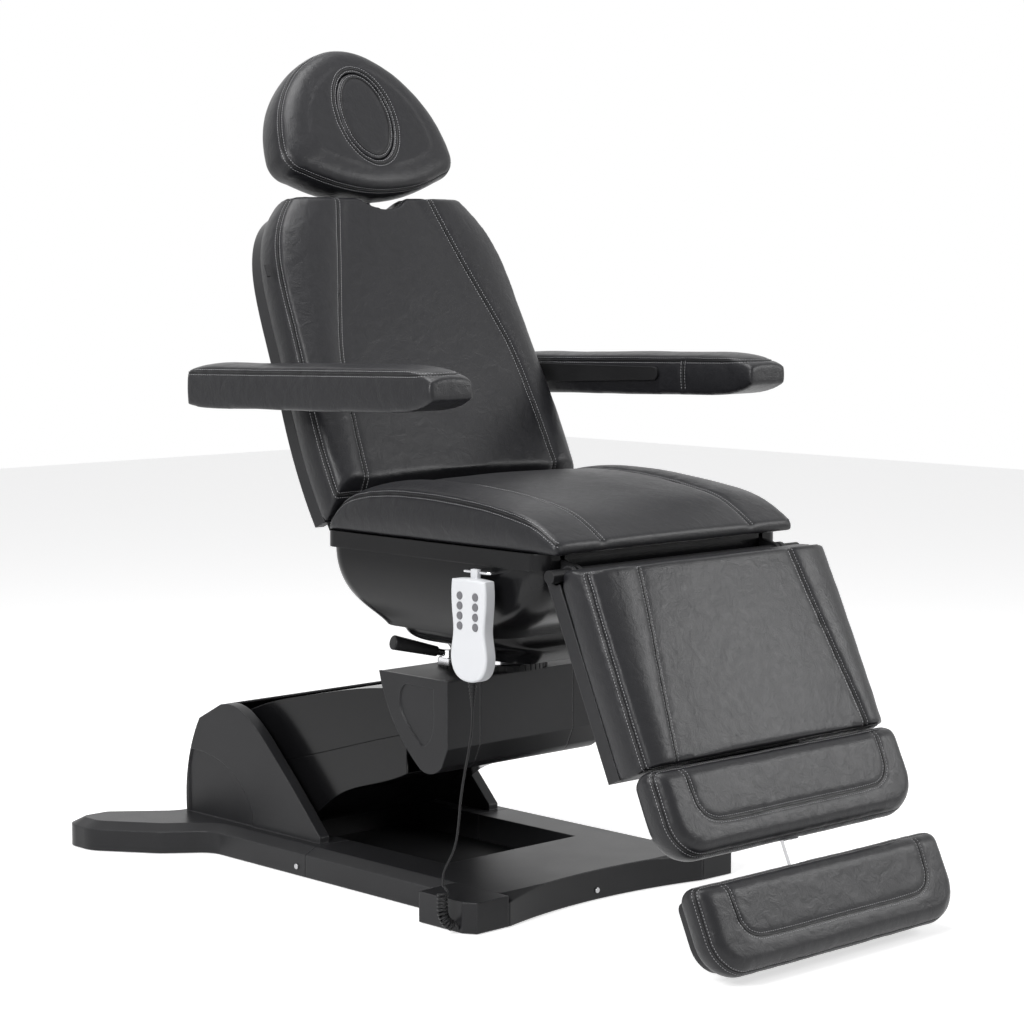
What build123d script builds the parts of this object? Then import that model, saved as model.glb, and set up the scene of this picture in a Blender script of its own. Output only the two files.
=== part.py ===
from build123d import *
import os
import math

os.makedirs("parts", exist_ok=True)

# A powered treatment chair: a covered floor base, a parallelogram lift arm, a
# levelled head with a turntable, a tilting seat, and a back, leg rest, foot
# pads, armrests and headrest that move on it.  The sitter faces -Y, +X is the
# sitter's left, +Z is up, and the floor is z = 0 under the centre of the base.

# Clearances shared by every piece
overrun = 5.0            # how far a cut runs past the wall it opens
running = 0.05           # radial play of a shaft in its bush
play = 0.5               # gap between rigid pieces that pass each other
soft_gap = 0.3           # gap between a cushion and what carries it
plastic = 4.0            # wall of the moulded covers

# Floor base
base_half_length = 517.0
base_half_width = 418.0
base_height = 54.0
base_chamfer = 12.0
rail_outer = 263.0
rail_rear = 258.0
tray_half = 160.0
tray_front = -275.0
joint_y = -15.0
joint_gap = 1.5
front_hollow = 32.0
block_half = 326.0
front_reach = 520.0
corner_radius = 36.0
pan_half = 236.0
pan_front = -470.0
pan_rear = 395.0
pan_thickness = 4.0
pan_corner = 20.0

# Hump of the base, between whose cheeks the lift arm turns
hump_rear = 394.0
hump_length = 398.0
hump_height = 276.0
cheek_outer = 220.0
cheek_thickness = 22.0
cheek_wall = 7.0
floor_gap = 2.0
cheek_recess = 3.0
recess_length = 175.0
recess_height = 122.0
recess_center = 365.0
hump_panel_end = 285.0
well_front = 150.0
well_rear = 388.0

# Steel frame of the base
rail_tube_center = 205.0
rail_tube_width = 50.0
tube_top = 40.0
tube_wall = 3.0
cross_tube_width = 40.0
cross_tube_floor = 14.0
front_tube_y = -430.0
rear_tube_y = 403.0
front_tube_half = 310.0
rear_tube_half = 370.0
upright_inner = 183.0
upright_thickness = 6.0
upright_reach = 32.0

# Levelling feet and cover screws
foot_pad_radius = 18.0
foot_pad_height = 8.0
foot_stem_radius = 6.0
foot_front_x = 292.0
foot_rear_x = 350.0
foot_rear_y = 465.0
screw_head_radius = 5.0
screw_seat = 0.2
screw_head_height = 2.5
screw_radius = 2.0
screw_length = 9.0
screw_height = 18.0
side_screw_setback = 24.0

# Lift linkage, pivots given in the side view as (y, z)
arm_hinge = (235.0, 205.0)
arm_span = 460.0
arm_rise = 95.0
link_drop = (10.0, -70.0)
arm_pin_radius = 12.0
link_pin_radius = 8.0
arm_eye_radius = 32.0
arm_front_radius = 24.0
arm_plate_inner = 140.0
arm_plate_thickness = 6.0
arm_bush_radius = 20.0
arm_cover_half = 175.0
arm_cover_wall = 3.5
cover_seam = 0.8
arm_open_from = 145.0
link_bar_inner = 110.0
link_bar_thickness = 10.0
link_eye_radius = 15.0
tie_tube_share = 0.3

# Head box on top of the arm
head_half = 191.0
head_front = -315.0
head_depth = 179.0
head_top = 383.0
head_height = 167.0
head_wall = 3.5
head_side_wall = 6.0
head_split = 113.0
head_plate_inner = 150.0
head_plate_thickness = 6.0
head_deck_thickness = 8.0
head_recess = 2.5
head_eye_radius = 18.0

# Turntable
swivel_y = -225.0
ring_disc_radius = 98.0
ring_disc_height = 11.0
ring_tooth = 3.0
ring_teeth = 48
top_disc_radius = 88.0
top_disc_height = 8.0
hub_radius = 60.0
hub_height = 8.0
king_pin_radius = 15.0
king_pin_length = 24.0

# Brake lever
clamp_width = 26.0
clamp_height = 12.0
lever_pin_radius = 4.0
lever_radius = 6.0
lever_hub_radius = 10.0
lever_hub_height = 14.0
lever_length = 46.0
lever_climb = 12.0
lever_turn = 12.0
grip_length = 92.0
grip_root_radius = 9.0
grip_end_radius = 13.0

# Tilting seat, its pivot and the shroud that hides it
tilt_axis = (-300.0, 475.0)
tilt_pin_radius = 10.0
tilt_bush_radius = 18.0
tilt_plate_inner = 60.0
tilt_plate_thickness = 8.0
shroud_wall = 4.0
shroud_half = 232.0
shroud_height = 90.0
tilt_bush_length = 12.0

# Seat shell and frame
seat_half = 290.0
rim_rear = -106.0
rim_front = -645.0
rim_bottom = 609.0
rim_top = 637.0
rim_wall = 6.0
rim_corner = 26.0
seat_tube = 25.0
seat_tube_x = 212.0
seat_rear_y = -140.0
seat_front_y = -620.0
seat_mid_y = -380.0
knee_tube_half = 300.0
lug_gap = 1.0
lug_depth = 36.0
window_width = 44.0
window_rear_depth = 82.0
window_drop = 8.0
window_front_depth = 80.0
back_hinge = (-95.0, 640.0)
knee_hinge = (-675.0, 605.0)
hinge_pin_radius = 9.0
knee_tube_radius = 11.0
lug_thickness = 8.0
lug_radius = 15.0
seat_lug_inner = 236.0
back_lug_inner = 250.0

# Linear actuators: start and end pivots in the side view
eye_radius = 12.0
eye_width = 16.0
eye_pin_radius = 5.0
ear_thickness = 5.0
motor_radius = 20.0
motor_length = 62.0
motor_offset = 34.0
gearbox_length = 40.0
gearbox_start = 18.0
rod_eye_wall = 5.0
lift_tube_length = 236.0
tilt_tube_length = 184.0
back_tube_length = 216.0
leg_tube_length = 248.0
tube_radius = 15.0
rod_radius = 7.0
lift_start = (215.0, 85.0)
lift_end = (-20.0, 260.0)
tilt_start = (-215.0, 450.0)
tilt_end = (-420.0, 575.0)
back_start = (-386.0, 573.0)
back_end = (-60.0, 591.0)
leg_start = (-379.0, 575.0)
leg_end = (-679.0, 545.0)
back_motor_x = 110.0
leg_motor_x = -110.0
lift_eye_play = 2.2
tilt_eye_play = 0.6
back_eye_play = 8.5
leg_eye_play = 7.5

# Seat cushion
seat_cushion_half = 286.0
seat_cushion_length = 590.0
seat_cushion_rise = 84.0
seat_swell = 8.0
seat_crown = 14.0
channel_depth = 4.0
middle_crown = 5.0

# Back rest, on a plane that leans back
back_root = (-144.0, 713.0)
back_lean = 24.3
back_pad_depth = 70.0
back_shell_depth = 28.0
back_length = 556.0
back_half = 290.0
back_swell = 8.0
back_crown = 16.0
neck_center = 608.0
neck_radius = 85.0
shell_inset = 3.0
shell_wall = 4.0
back_tube = 20.0
back_tube_x = 180.0
back_cross_half = 262.0
groove_gap = 1.5

# Headrest and its post
head_pad_center = 702.0
head_pad_width = 205.0
head_pad_height = 146.0
head_pad_depth = 66.0
oval_half_width = 62.0
oval_half_height = 88.0
oval_gap = 0.6
plug_crown = 5.0
post_radius = 7.0
post_x = 45.0
post_low = 380.0
post_top = 592.0
post_off = -82.0
post_bar_radius = 9.0
socket_half = 30.0
socket_height = 32.0
socket_depth = 30.0

# Armrests
armrest_inner = 334.0
armrest_outer = 428.0
armrest_hinge = (27.0, 886.0)
armrest_rise = 1.5
armrest_rear_reach = 75.0
armrest_length = 640.0
armrest_half_height = 39.0
armrest_swell = 3.0
armrest_crown = 7.0
bracket_thickness = 6.0
bracket_half_height = 18.0
bracket_reach = 330.0
bracket_boss_radius = 15.0
bracket_boss_length = 26.0
armrest_pin_radius = 8.0

# Leg rest, on a plane parallel to the shins
leg_root = (-746.0, 628.0)
leg_lean = 24.4
leg_length = 334.0
leg_half = 292.0
leg_pad_depth = 72.0
leg_shell_depth = 26.0
leg_shell_half = 284.0
leg_swell = 7.0
leg_crown = 13.0
leg_beam_high = 30.0
leg_beam_width = 45.0
foot_bracket_half = 120.0
foot_bracket_thickness = 6.0

# Foot pads and the bar that the lower one slides on
foot_forward = 17.0
foot_gap = 6.0
foot_height = 142.0
foot_half = 293.0
foot_depth = 60.0
foot_corner = 62.0
foot_top_corner = 14.0
foot_channel_half = 234.0
foot_channel_drop = 96.0
foot_channel_width = 5.0
foot_spread = 47.0
foot_step = 12.8
foot_travel = 40.0
foot_shell_inset = 12.0
foot_shell_thickness = 14.0
bar_width = 36.0
bar_thickness = 8.0
bar_back = 30.3
bar_grip = 95.0
bar_end = 15.0

# Hand control and its cord
remote_x = -328.0
remote_thickness = 22.0
remote_top = (-515.0, 588.0)
remote_length = 167.0
remote_half = 44.0
remote_round = 5.0
button_radius = 6.5
button_proud = 1.4
button_depth = 3.0
button_travel = 1.0
button_gap = 0.25
button_pitch = 16.4
button_column = 18.5
button_first = 26.0
hook_radius = 2.5
hook_half = 30.0
hook_top = 12.0
tongue_half = 8.0
relief_length = 40.0
relief_top_radius = 7.5
relief_end_radius = 3.2
relief_rings = 6
relief_socket = 6.0
cord_radius = 2.0

# Curly stretch of the cord: it hangs beside the front block, then bends into it
curl_axis = (-356.0, -484.0)
curl_top = 82.0
curl_radius = 7.8
curl_pitch = 6.1
curl_bend = 32.0
curl_floor = 12.5
curl_start_angle = -41.0
curl_lead = 9.0


def unit(start, end):
    """Direction and length from one side-view point to another."""
    length = math.dist(start, end)
    return (end[0] - start[0]) / length, (end[1] - start[1]) / length, length


def place(shares, corner, length, height):
    """Turn an outline's shares of a length and a height into side-view points."""
    return [(corner[0] + a * length, corner[1] + b * height) for a, b in shares]


def lean_plane(root, lean):
    """The front plane of a pad: y runs up the pad and z out of its face."""
    tilt = math.radians(lean)
    return Plane(origin=(0, *root), x_dir=(1, 0, 0), z_dir=(0, -math.cos(tilt), math.sin(tilt)))


def station(frame, distance):
    """A plane across a pad at a distance along it, with y out of its face."""
    origin = frame.from_local_coords((0, distance, 0))
    return Plane(origin=origin, x_dir=frame.x_dir, z_dir=-frame.y_dir)


def link_profile(first, second, first_radius, second_radius):
    """The outline of a flat link: two eyes joined by their common tangents."""
    with BuildSketch() as profile:
        with Locations(first):
            Circle(first_radius)
        with Locations(second):
            Circle(second_radius)
        make_hull()
    return profile.sketch


def channelled(plane, half, seam, bottom, edge, swell, crown, dip, middle):
    """A section across a pad: swelling sides, two crowned wings and a crowned
    middle between two sewn channels."""
    valley = edge + crown - dip
    with BuildSketch(plane) as section:
        with BuildLine():
            Line((-half, bottom), (half, bottom))
            ThreePointArc((half, bottom), (half + swell, (bottom + edge) / 2), (half, edge))
            ThreePointArc((half, edge), ((half + seam) / 2, edge + crown), (seam, valley))
            ThreePointArc((seam, valley), (0, valley + middle), (-seam, valley))
            ThreePointArc((-seam, valley), (-(half + seam) / 2, edge + crown), (-half, edge))
            ThreePointArc((-half, edge), (-half - swell, (bottom + edge) / 2), (-half, bottom))
        make_face()
    return section.sketch


def side_plane(frame, reach=0):
    """A plane of a leaning pad seen from the side: x runs up the pad, y out of its face."""
    return Plane(origin=(-reach, *tuple(frame.origin)[1:]), x_dir=frame.y_dir, z_dir=(1, 0, 0))


def across(frame, run, out):
    """The (y, z) of a point at a distance up a leaning pad and out of its face."""
    return tuple(frame.from_local_coords((0, run, out)))[1:]


def plain_section(plane, center, half, bottom, edge, swell, crown):
    """A section across a narrow pad: flat below, swelling sides, crowned top."""
    with BuildSketch(plane) as section:
        with BuildLine():
            Line((center - half, bottom), (center + half, bottom))
            ThreePointArc((center + half, bottom), (center + half + swell, (bottom + edge) / 2), (center + half, edge))
            ThreePointArc((center + half, edge), (center, edge + crown), (center - half, edge))
            ThreePointArc((center - half, edge), (center - half - swell, (bottom + edge) / 2), (center - half, bottom))
        make_face()
    return section.sketch


def finish(piece, name):
    """Label a finished piece and write it out."""
    piece.part.label = name
    export_step(piece.part, f"parts/{name}.step")


head_hinge = (arm_hinge[0] - arm_span, arm_hinge[1] + arm_rise)
link_base = (arm_hinge[0] + link_drop[0], arm_hinge[1] + link_drop[1])
link_head = (head_hinge[0] + link_drop[0], head_hinge[1] + link_drop[1])
upright_outer = upright_inner + upright_thickness
cheek_inner = cheek_outer - cheek_thickness

tie_place = (arm_hinge[0] - tie_tube_share * arm_span, arm_hinge[1] + tie_tube_share * arm_rise)

# Floor pan: a flat steel plate that lies on the floor and closes the tray
with BuildPart() as floor_pan:
    with BuildSketch():
        with Locations((0, (pan_front + pan_rear) / 2)):
            RectangleRounded(2 * pan_half, pan_rear - pan_front, pan_corner)
    extrude(amount=pan_thickness)
finish(floor_pan, "floor_pan")

# Base frame: welded tubes with two uprights that carry the lift pivots
foot_places = [(side * x, y, 0) for side in (-1, 1)
               for x, y in ((foot_front_x, front_tube_y), (foot_rear_x, foot_rear_y))]
with BuildPart() as base_frame:
    with BuildSketch(Plane.XZ.offset(-rear_tube_y)):
        with Locations(*[(side * rail_tube_center, (pan_thickness + tube_top) / 2) for side in (-1, 1)]):
            Rectangle(rail_tube_width, tube_top - pan_thickness)
    extrude(amount=rear_tube_y - front_tube_y)
    for tube_y, tube_half in ((front_tube_y, front_tube_half), (rear_tube_y, rear_tube_half)):
        with BuildSketch(Plane.YZ.offset(-tube_half)):
            with Locations((tube_y, (cross_tube_floor + tube_top) / 2)):
                Rectangle(cross_tube_width, tube_top - cross_tube_floor)
        extrude(amount=2 * tube_half)
    for side in (-1, 1):
        with BuildSketch(Plane.XZ.offset(-rear_tube_y)):
            with Locations((side * foot_rear_x, (cross_tube_floor + tube_top) / 2)):
                Rectangle(cross_tube_width, tube_top - cross_tube_floor)
        extrude(amount=rear_tube_y - foot_rear_y - cross_tube_width / 2)
    with BuildSketch(Plane.XZ.offset(-rear_tube_y)):
        with Locations(*[(side * rail_tube_center, (pan_thickness + tube_top) / 2) for side in (-1, 1)]):
            Rectangle(rail_tube_width - 2 * tube_wall, tube_top - pan_thickness - 2 * tube_wall)
    extrude(amount=rear_tube_y - front_tube_y, mode=Mode.SUBTRACT)
    with BuildSketch(Plane.YZ.offset(-rail_tube_center)):
        with Locations((lift_start[0], (pan_thickness + tube_top) / 2)):
            Rectangle(cross_tube_width, tube_top - pan_thickness)
    extrude(amount=2 * rail_tube_center)
    for side in (-1, 1):
        with BuildSketch(Plane.YZ.offset(side * upright_inner)):
            with Locations(arm_hinge, link_base):
                Circle(upright_reach)
            with Locations((arm_hinge[0], tube_top)):
                Rectangle(4 * upright_reach, tube_wall)
            make_hull()
        extrude(amount=side * upright_thickness)
        with BuildSketch(Plane.YZ.offset(side * (eye_width / 2 + play))):
            with Locations(lift_start):
                Circle(eye_radius)
            with Locations((lift_start[0], tube_top)):
                Rectangle(2 * eye_radius, tube_wall)
            make_hull()
        extrude(amount=side * ear_thickness)
    for pivot, radius, reach in ((arm_hinge, arm_pin_radius, upright_outer),
                                 (link_base, link_pin_radius, upright_outer),
                                 (lift_start, eye_pin_radius, eye_width / 2 + play + ear_thickness)):
        with BuildSketch(Plane.YZ.offset(-reach)):
            with Locations(pivot):
                Circle(radius)
        extrude(amount=2 * reach)
    with Locations(*foot_places):
        Cylinder(foot_stem_radius + running, tube_top - tube_wall, mode=Mode.SUBTRACT,
                 align=(Align.CENTER, Align.CENTER, Align.MIN))
finish(base_frame, "base_frame")

# Levelling feet: a pad and a threaded stem under each end of the cross tubes
with BuildPart() as leveling_feet:
    with Locations(*foot_places):
        Cylinder(foot_pad_radius, foot_pad_height, align=(Align.CENTER, Align.CENTER, Align.MIN))
        Cylinder(foot_stem_radius, tube_top - tube_wall - play, align=(Align.CENTER, Align.CENTER, Align.MIN))
finish(leveling_feet, "leveling_feet")

# Base covers: one moulded skirt, split at the joint, hollow and open below
rear_plan_shares = [(0.81, 0.615), (1.0, 0.83), (1.0, 1.0), (0.78, 1.0), (0.53, 0.835)]
rear_plan_radii = [1.4, 1.7, 1.7, 1.1, 1.1, 1.1]
block_shares = [(0.736, 0.998), (0.957, 1.0), (1.0, 0.958), (1.0, 0.754), (0.736, 0.748)]

cheek_shares = [(0.0, 0.0), (0.015, 0.432), (0.106, 0.833), (0.274, 0.986), (0.337, 1.0), (0.643, 0.68),
                (0.93, 0.18), (1.0, 0.05), (1.0, 0.0)]


def skirt_blank(inset, top):
    """The outside of the skirt, or with an inset the hollow inside it."""
    rear = [(a * base_half_width, b * base_half_length) for a, b in rear_plan_shares]
    half_plan = [(rail_outer, -front_reach), (rail_outer, rail_rear)] + rear
    radii = [corner_radius] + [corner_radius * share for share in rear_plan_radii]
    block = [(a * block_half, -b * front_reach) for a, b in block_shares]
    hollow_radius = (block[0][0] ** 2 + front_hollow ** 2) / (2 * front_hollow)
    with BuildPart() as blank:
        with BuildSketch():
            with BuildLine():
                FilletPolyline(*half_plan, *[(-x, y) for x, y in reversed(half_plan)],
                               radius=radii + radii[::-1], close=True)
            make_face()
            if inset:
                offset(amount=-inset, kind=Kind.INTERSECTION)
        extrude(amount=top)
        top_face = blank.faces().sort_by(Axis.Z)[-1]
        chamfer(top_face.edges(), length=2 * base_chamfer, length2=base_chamfer, reference=top_face)
        with BuildSketch():
            with Locations((0, -front_reach + front_hollow - hollow_radius)):
                Circle(hollow_radius + inset)
        extrude(amount=top, mode=Mode.SUBTRACT)
        for side in (-1, 1):
            with BuildSketch():
                with BuildLine():
                    Polyline(*[(side * x, y) for x, y in block], close=True)
                make_face()
                if inset:
                    offset(amount=-inset, kind=Kind.INTERSECTION)
            extrude(amount=top)
    return blank.part


def cheek_face(inset):
    """The side of the hump, a quarter round with a flat back, or its hollow."""
    points = place(cheek_shares, (hump_rear - inset, base_height), 3 * inset - hump_length,
                   hump_height - base_height - inset)
    with BuildSketch() as face:
        with BuildLine():
            Polyline(points[7], points[8], (points[8][0], base_height - plastic),
                     (points[0][0], base_height - plastic), points[0])
            ThreePointArc(points[0], points[1], points[2])
            Line(points[2], points[3])
            Spline(points[3], points[4], points[5], points[6], points[7])
        make_face()
    return face.sketch


skirt_outside = skirt_blank(0, base_height)
skirt_inside = skirt_blank(plastic, base_height - plastic)

tube_passage = rail_tube_width + 2 * play

with BuildPart() as covers:
    add(skirt_outside)
    for side in (-1, 1):
        with BuildSketch(Plane.YZ.offset(side * cheek_inner)):
            add(cheek_face(0))
        extrude(amount=side * cheek_thickness)
    with BuildSketch(Plane.YZ.offset(-cheek_inner)):
        add(cheek_face(0))
        add(cheek_face(plastic), mode=Mode.SUBTRACT)
        with Locations((hump_panel_end, base_height)):
            Rectangle(base_half_length, hump_height, align=Align.MIN, mode=Mode.INTERSECT)
    extrude(amount=2 * cheek_inner)
    add(skirt_inside, mode=Mode.SUBTRACT)
    with BuildSketch() as tray_wall:
        with Locations((0, (tray_front + well_front) / 2)):
            Rectangle(2 * (tray_half + plastic), well_front - tray_front + 2 * plastic)
        with Locations((0, (well_front + well_rear) / 2)):
            Rectangle(2 * cheek_inner, well_rear - well_front + 2 * plastic)
    extrude(amount=base_height - plastic)
    with BuildSketch() as tray_opening:
        with Locations((0, (tray_front + well_front) / 2)):
            Rectangle(2 * tray_half, well_front - tray_front)
        with Locations((0, (well_front + well_rear) / 2)):
            Rectangle(2 * (cheek_inner - plastic), well_rear - well_front)
    extrude(amount=base_height, mode=Mode.SUBTRACT)
    for side in (-1, 1):
        with BuildSketch(Plane.YZ.offset(side * (cheek_inner - plastic))):
            add(cheek_face(plastic))
        extrude(amount=side * (cheek_thickness - cheek_wall + plastic), mode=Mode.SUBTRACT)
        with BuildSketch(Plane.YZ.offset(side * (cheek_outer - cheek_recess))):
            with Locations((recess_center, base_height)):
                Ellipse(recess_length, recess_height)
            with Locations((recess_center - recess_length, base_height)):
                Rectangle(recess_length + cheek_thickness, recess_height, align=Align.MIN, mode=Mode.INTERSECT)
            add(cheek_face(cheek_recess), mode=Mode.INTERSECT)
        extrude(amount=side * 2 * cheek_recess, mode=Mode.SUBTRACT)
    with Locations(*[(side * rail_tube_center, (front_tube_y + rear_tube_y) / 2, 0) for side in (-1, 1)]):
        Box(tube_passage, rear_tube_y - front_tube_y + cross_tube_width, tube_top + play, mode=Mode.SUBTRACT,
            align=(Align.CENTER, Align.CENTER, Align.MIN))
    with Locations((0, rear_tube_y, 0)):
        Box(2 * (rail_tube_center + play), cross_tube_width + 2 * play, tube_top + play, mode=Mode.SUBTRACT,
            align=(Align.CENTER, Align.CENTER, Align.MIN))
    with Locations((0, (pan_front + pan_rear) / 2, 0)):
        Box(2 * (pan_half + play), pan_rear - pan_front + 2 * play, pan_thickness + play, mode=Mode.SUBTRACT,
            align=(Align.CENTER, Align.CENTER, Align.MIN))
    Box(2 * base_half_length, 3 * base_half_length, floor_gap, mode=Mode.SUBTRACT,
        align=(Align.CENTER, Align.CENTER, Align.MIN))
    for side in (-1, 1):
        with Locations(Location((side * rail_outer, joint_y + side_screw_setback, screw_height),
                                (0, side * 90, 0))):
            Cylinder(screw_radius + running, 3 * plastic, mode=Mode.SUBTRACT)
    with Locations(Location((0, -front_reach + front_hollow, screw_height), (90, 0, 0))):
        Cylinder(screw_radius + running, 3 * plastic, mode=Mode.SUBTRACT)

with BuildPart() as rear_base_cover:
    add(covers.part)
    with Locations((0, joint_y + joint_gap / 2, 0)):
        Box(3 * base_half_length, 3 * base_half_length, 3 * hump_height, mode=Mode.INTERSECT,
            align=(Align.CENTER, Align.MIN, Align.CENTER))
finish(rear_base_cover, "rear_base_cover")


with BuildPart() as front_base_cover:
    add(covers.part)
    with Locations((0, joint_y - joint_gap / 2, 0)):
        Box(3 * base_half_length, 3 * base_half_length, 3 * hump_height, mode=Mode.INTERSECT,
            align=(Align.CENTER, Align.MAX, Align.CENTER))
finish(front_base_cover, "front_base_cover")

# Cover screws: pan heads on the rails and at the front edge
with BuildPart() as cover_screws:
    side_x = rail_outer + screw_seat
    for place_at in (Plane(origin=(-side_x, joint_y + side_screw_setback, screw_height), z_dir=(-1, 0, 0)),
                     Plane(origin=(side_x, joint_y + side_screw_setback, screw_height), z_dir=(1, 0, 0)),
                     Plane(origin=(0, -front_reach + front_hollow - screw_seat, screw_height), z_dir=(0, -1, 0))):
        with BuildSketch(place_at):
            Circle(screw_head_radius)
        extrude(amount=screw_head_height)
        with BuildSketch(place_at):
            Circle(screw_radius)
        extrude(amount=-screw_length)
    fillet(cover_screws.edges().filter_by(GeomType.CIRCLE).group_by(SortBy.RADIUS)[-1], screw_head_height / 3)
finish(cover_screws, "cover_screws")

# Lift arm: two plates joined by the hinge tubes, a middle tie and the rod's pin
with BuildPart() as arm_frame:
    for side in (-1, 1):
        with BuildSketch(Plane.YZ.offset(side * arm_plate_inner)):
            add(link_profile(arm_hinge, head_hinge, arm_eye_radius, arm_front_radius))
        extrude(amount=side * arm_plate_thickness)
    for pivot, reach in ((arm_hinge, upright_inner - play), (head_hinge, head_plate_inner - play)):
        with BuildSketch(Plane.YZ.offset(-reach)):
            with Locations(pivot):
                Circle(arm_bush_radius)
        extrude(amount=2 * reach)
    for pivot, radius in ((tie_place, arm_bush_radius - arm_plate_thickness), (lift_end, link_pin_radius)):
        with BuildSketch(Plane.YZ.offset(-arm_plate_inner)):
            with Locations(pivot):
                Circle(radius)
        extrude(amount=2 * arm_plate_inner)
    for pivot, reach in ((arm_hinge, upright_inner), (head_hinge, head_plate_inner)):
        with BuildSketch(Plane.YZ.offset(-reach)):
            with Locations(pivot):
                Circle(arm_pin_radius + running)
        extrude(amount=2 * reach, mode=Mode.SUBTRACT)
finish(arm_frame, "arm_frame")

# Arm covers: an upper and a lower channel that meet at a parting line
arm_top_shares = [(-0.135, 0.0), (-0.074, 0.526), (0.154, 0.905), (0.376, 1.147), (0.561, 1.337),
                  (0.765, 1.495), (0.891, 1.547)]
arm_part_shares = [(0.924, 0.726), (0.559, 0.242), (0.254, -0.179), (-0.059, -0.558)]
arm_bottom_shares = [(0.028, -0.579), (0.098, -1.263), (0.207, -1.526), (0.402, -1.105), (0.528, -0.684),
                     (0.698, -0.389), (0.924, -0.021)]


def arm_points(shares, drop, run):
    """Points of an arm outline, moved in by a wall and run out past its front end."""
    points = [(y - drop if y > arm_hinge[0] else y, z - drop) for y, z in place(shares, arm_hinge, -arm_span, arm_rise)]
    front = min(y for y, _ in points)
    return [(y - run, z) if y == front else (y, z) for y, z in points]


def arm_channel(top, bottom, reach):
    """A blank across the arm between an upper and a lower line of points."""
    with BuildPart() as blank:
        with BuildSketch(Plane.YZ.offset(-reach)):
            with BuildLine():
                Line(top[0], top[1])
                Spline(*top[1:])
                Line(top[-1], bottom[0])
                Spline(*bottom)
                Line(bottom[-1], top[0])
            make_face()
        extrude(amount=2 * reach)
    return blank.part


arm_seam_half = cover_seam / 2
arm_inside = arm_cover_half - arm_cover_wall
upper_blank = arm_channel(arm_points(arm_top_shares, 0, 0), arm_points(arm_part_shares, -arm_seam_half, 0),
                          arm_cover_half)
upper_hollow = arm_channel(arm_points(arm_top_shares, arm_cover_wall, overrun),
                           arm_points(arm_part_shares, 2 * overrun, overrun), arm_inside)
lift_range = 26.0


def swung(point, pivot, degrees):
    """Where a point of the head or base is, seen from the arm, once the arm has risen by an angle."""
    turn = math.radians(degrees)
    y, z = point[0] - pivot[0], point[1] - pivot[1]
    return (pivot[0] + y * math.cos(turn) - z * math.sin(turn), pivot[1] + y * math.sin(turn) + z * math.cos(turn))


with BuildPart() as arm_upper_cover:
    add(upper_blank)
    add(upper_hollow, mode=Mode.SUBTRACT)
    with BuildSketch(Plane.YZ.offset(-arm_cover_half)):
        with Locations(arm_hinge):
            Circle(arm_bush_radius + play)
    extrude(amount=2 * arm_cover_half, mode=Mode.SUBTRACT)
    for share in (0.4, 0.6, 0.8, 1.0):
        raised_ends = [swung(end, pivot, share * lift_range) for end, pivot in ((link_base, arm_hinge), (link_head, head_hinge))]
        for side in (-1, 1):
            with BuildSketch(Plane.YZ.offset(side * (link_bar_inner - 4 * play))):
                add(link_profile(*raised_ends, link_eye_radius + 2 * play, link_eye_radius + 2 * play))
            extrude(amount=side * (link_bar_thickness + 8 * play), mode=Mode.SUBTRACT)
finish(arm_upper_cover, "arm_upper_cover")

lower_top_shares = [(0.028, -0.52), (0.028, -0.46)] + arm_part_shares[2::-1]
lower_blank = arm_channel(arm_points(lower_top_shares, arm_seam_half, 0),
                          arm_points(arm_bottom_shares[::-1], 0, 0), arm_cover_half)
lower_hollow = arm_channel(arm_points(lower_top_shares, -2 * overrun, overrun),
                           arm_points(arm_bottom_shares[::-1], -arm_cover_wall, overrun), arm_inside)
with BuildPart() as arm_lower_cover:
    add(lower_blank)
    add(lower_hollow, mode=Mode.SUBTRACT)
    with Locations((0, arm_open_from, link_base[1])):
        Box(2 * arm_inside, arm_eye_radius * 4, arm_eye_radius * 8, mode=Mode.SUBTRACT,
            align=(Align.CENTER, Align.MIN, Align.CENTER))
finish(arm_lower_cover, "arm_lower_cover")

# Levelling link: the two lower bars of the parallelogram
with BuildPart() as leveling_link:
    for side in (-1, 1):
        with BuildSketch(Plane.YZ.offset(side * link_bar_inner)):
            add(link_profile(link_base, link_head, link_eye_radius, link_eye_radius))
            with Locations(link_base):
                Circle(link_pin_radius + running, mode=Mode.SUBTRACT)
            with Locations(link_head):
                Circle(link_pin_radius + play, mode=Mode.SUBTRACT)
        extrude(amount=side * link_bar_thickness)
finish(leveling_link, "leveling_link")


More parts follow.
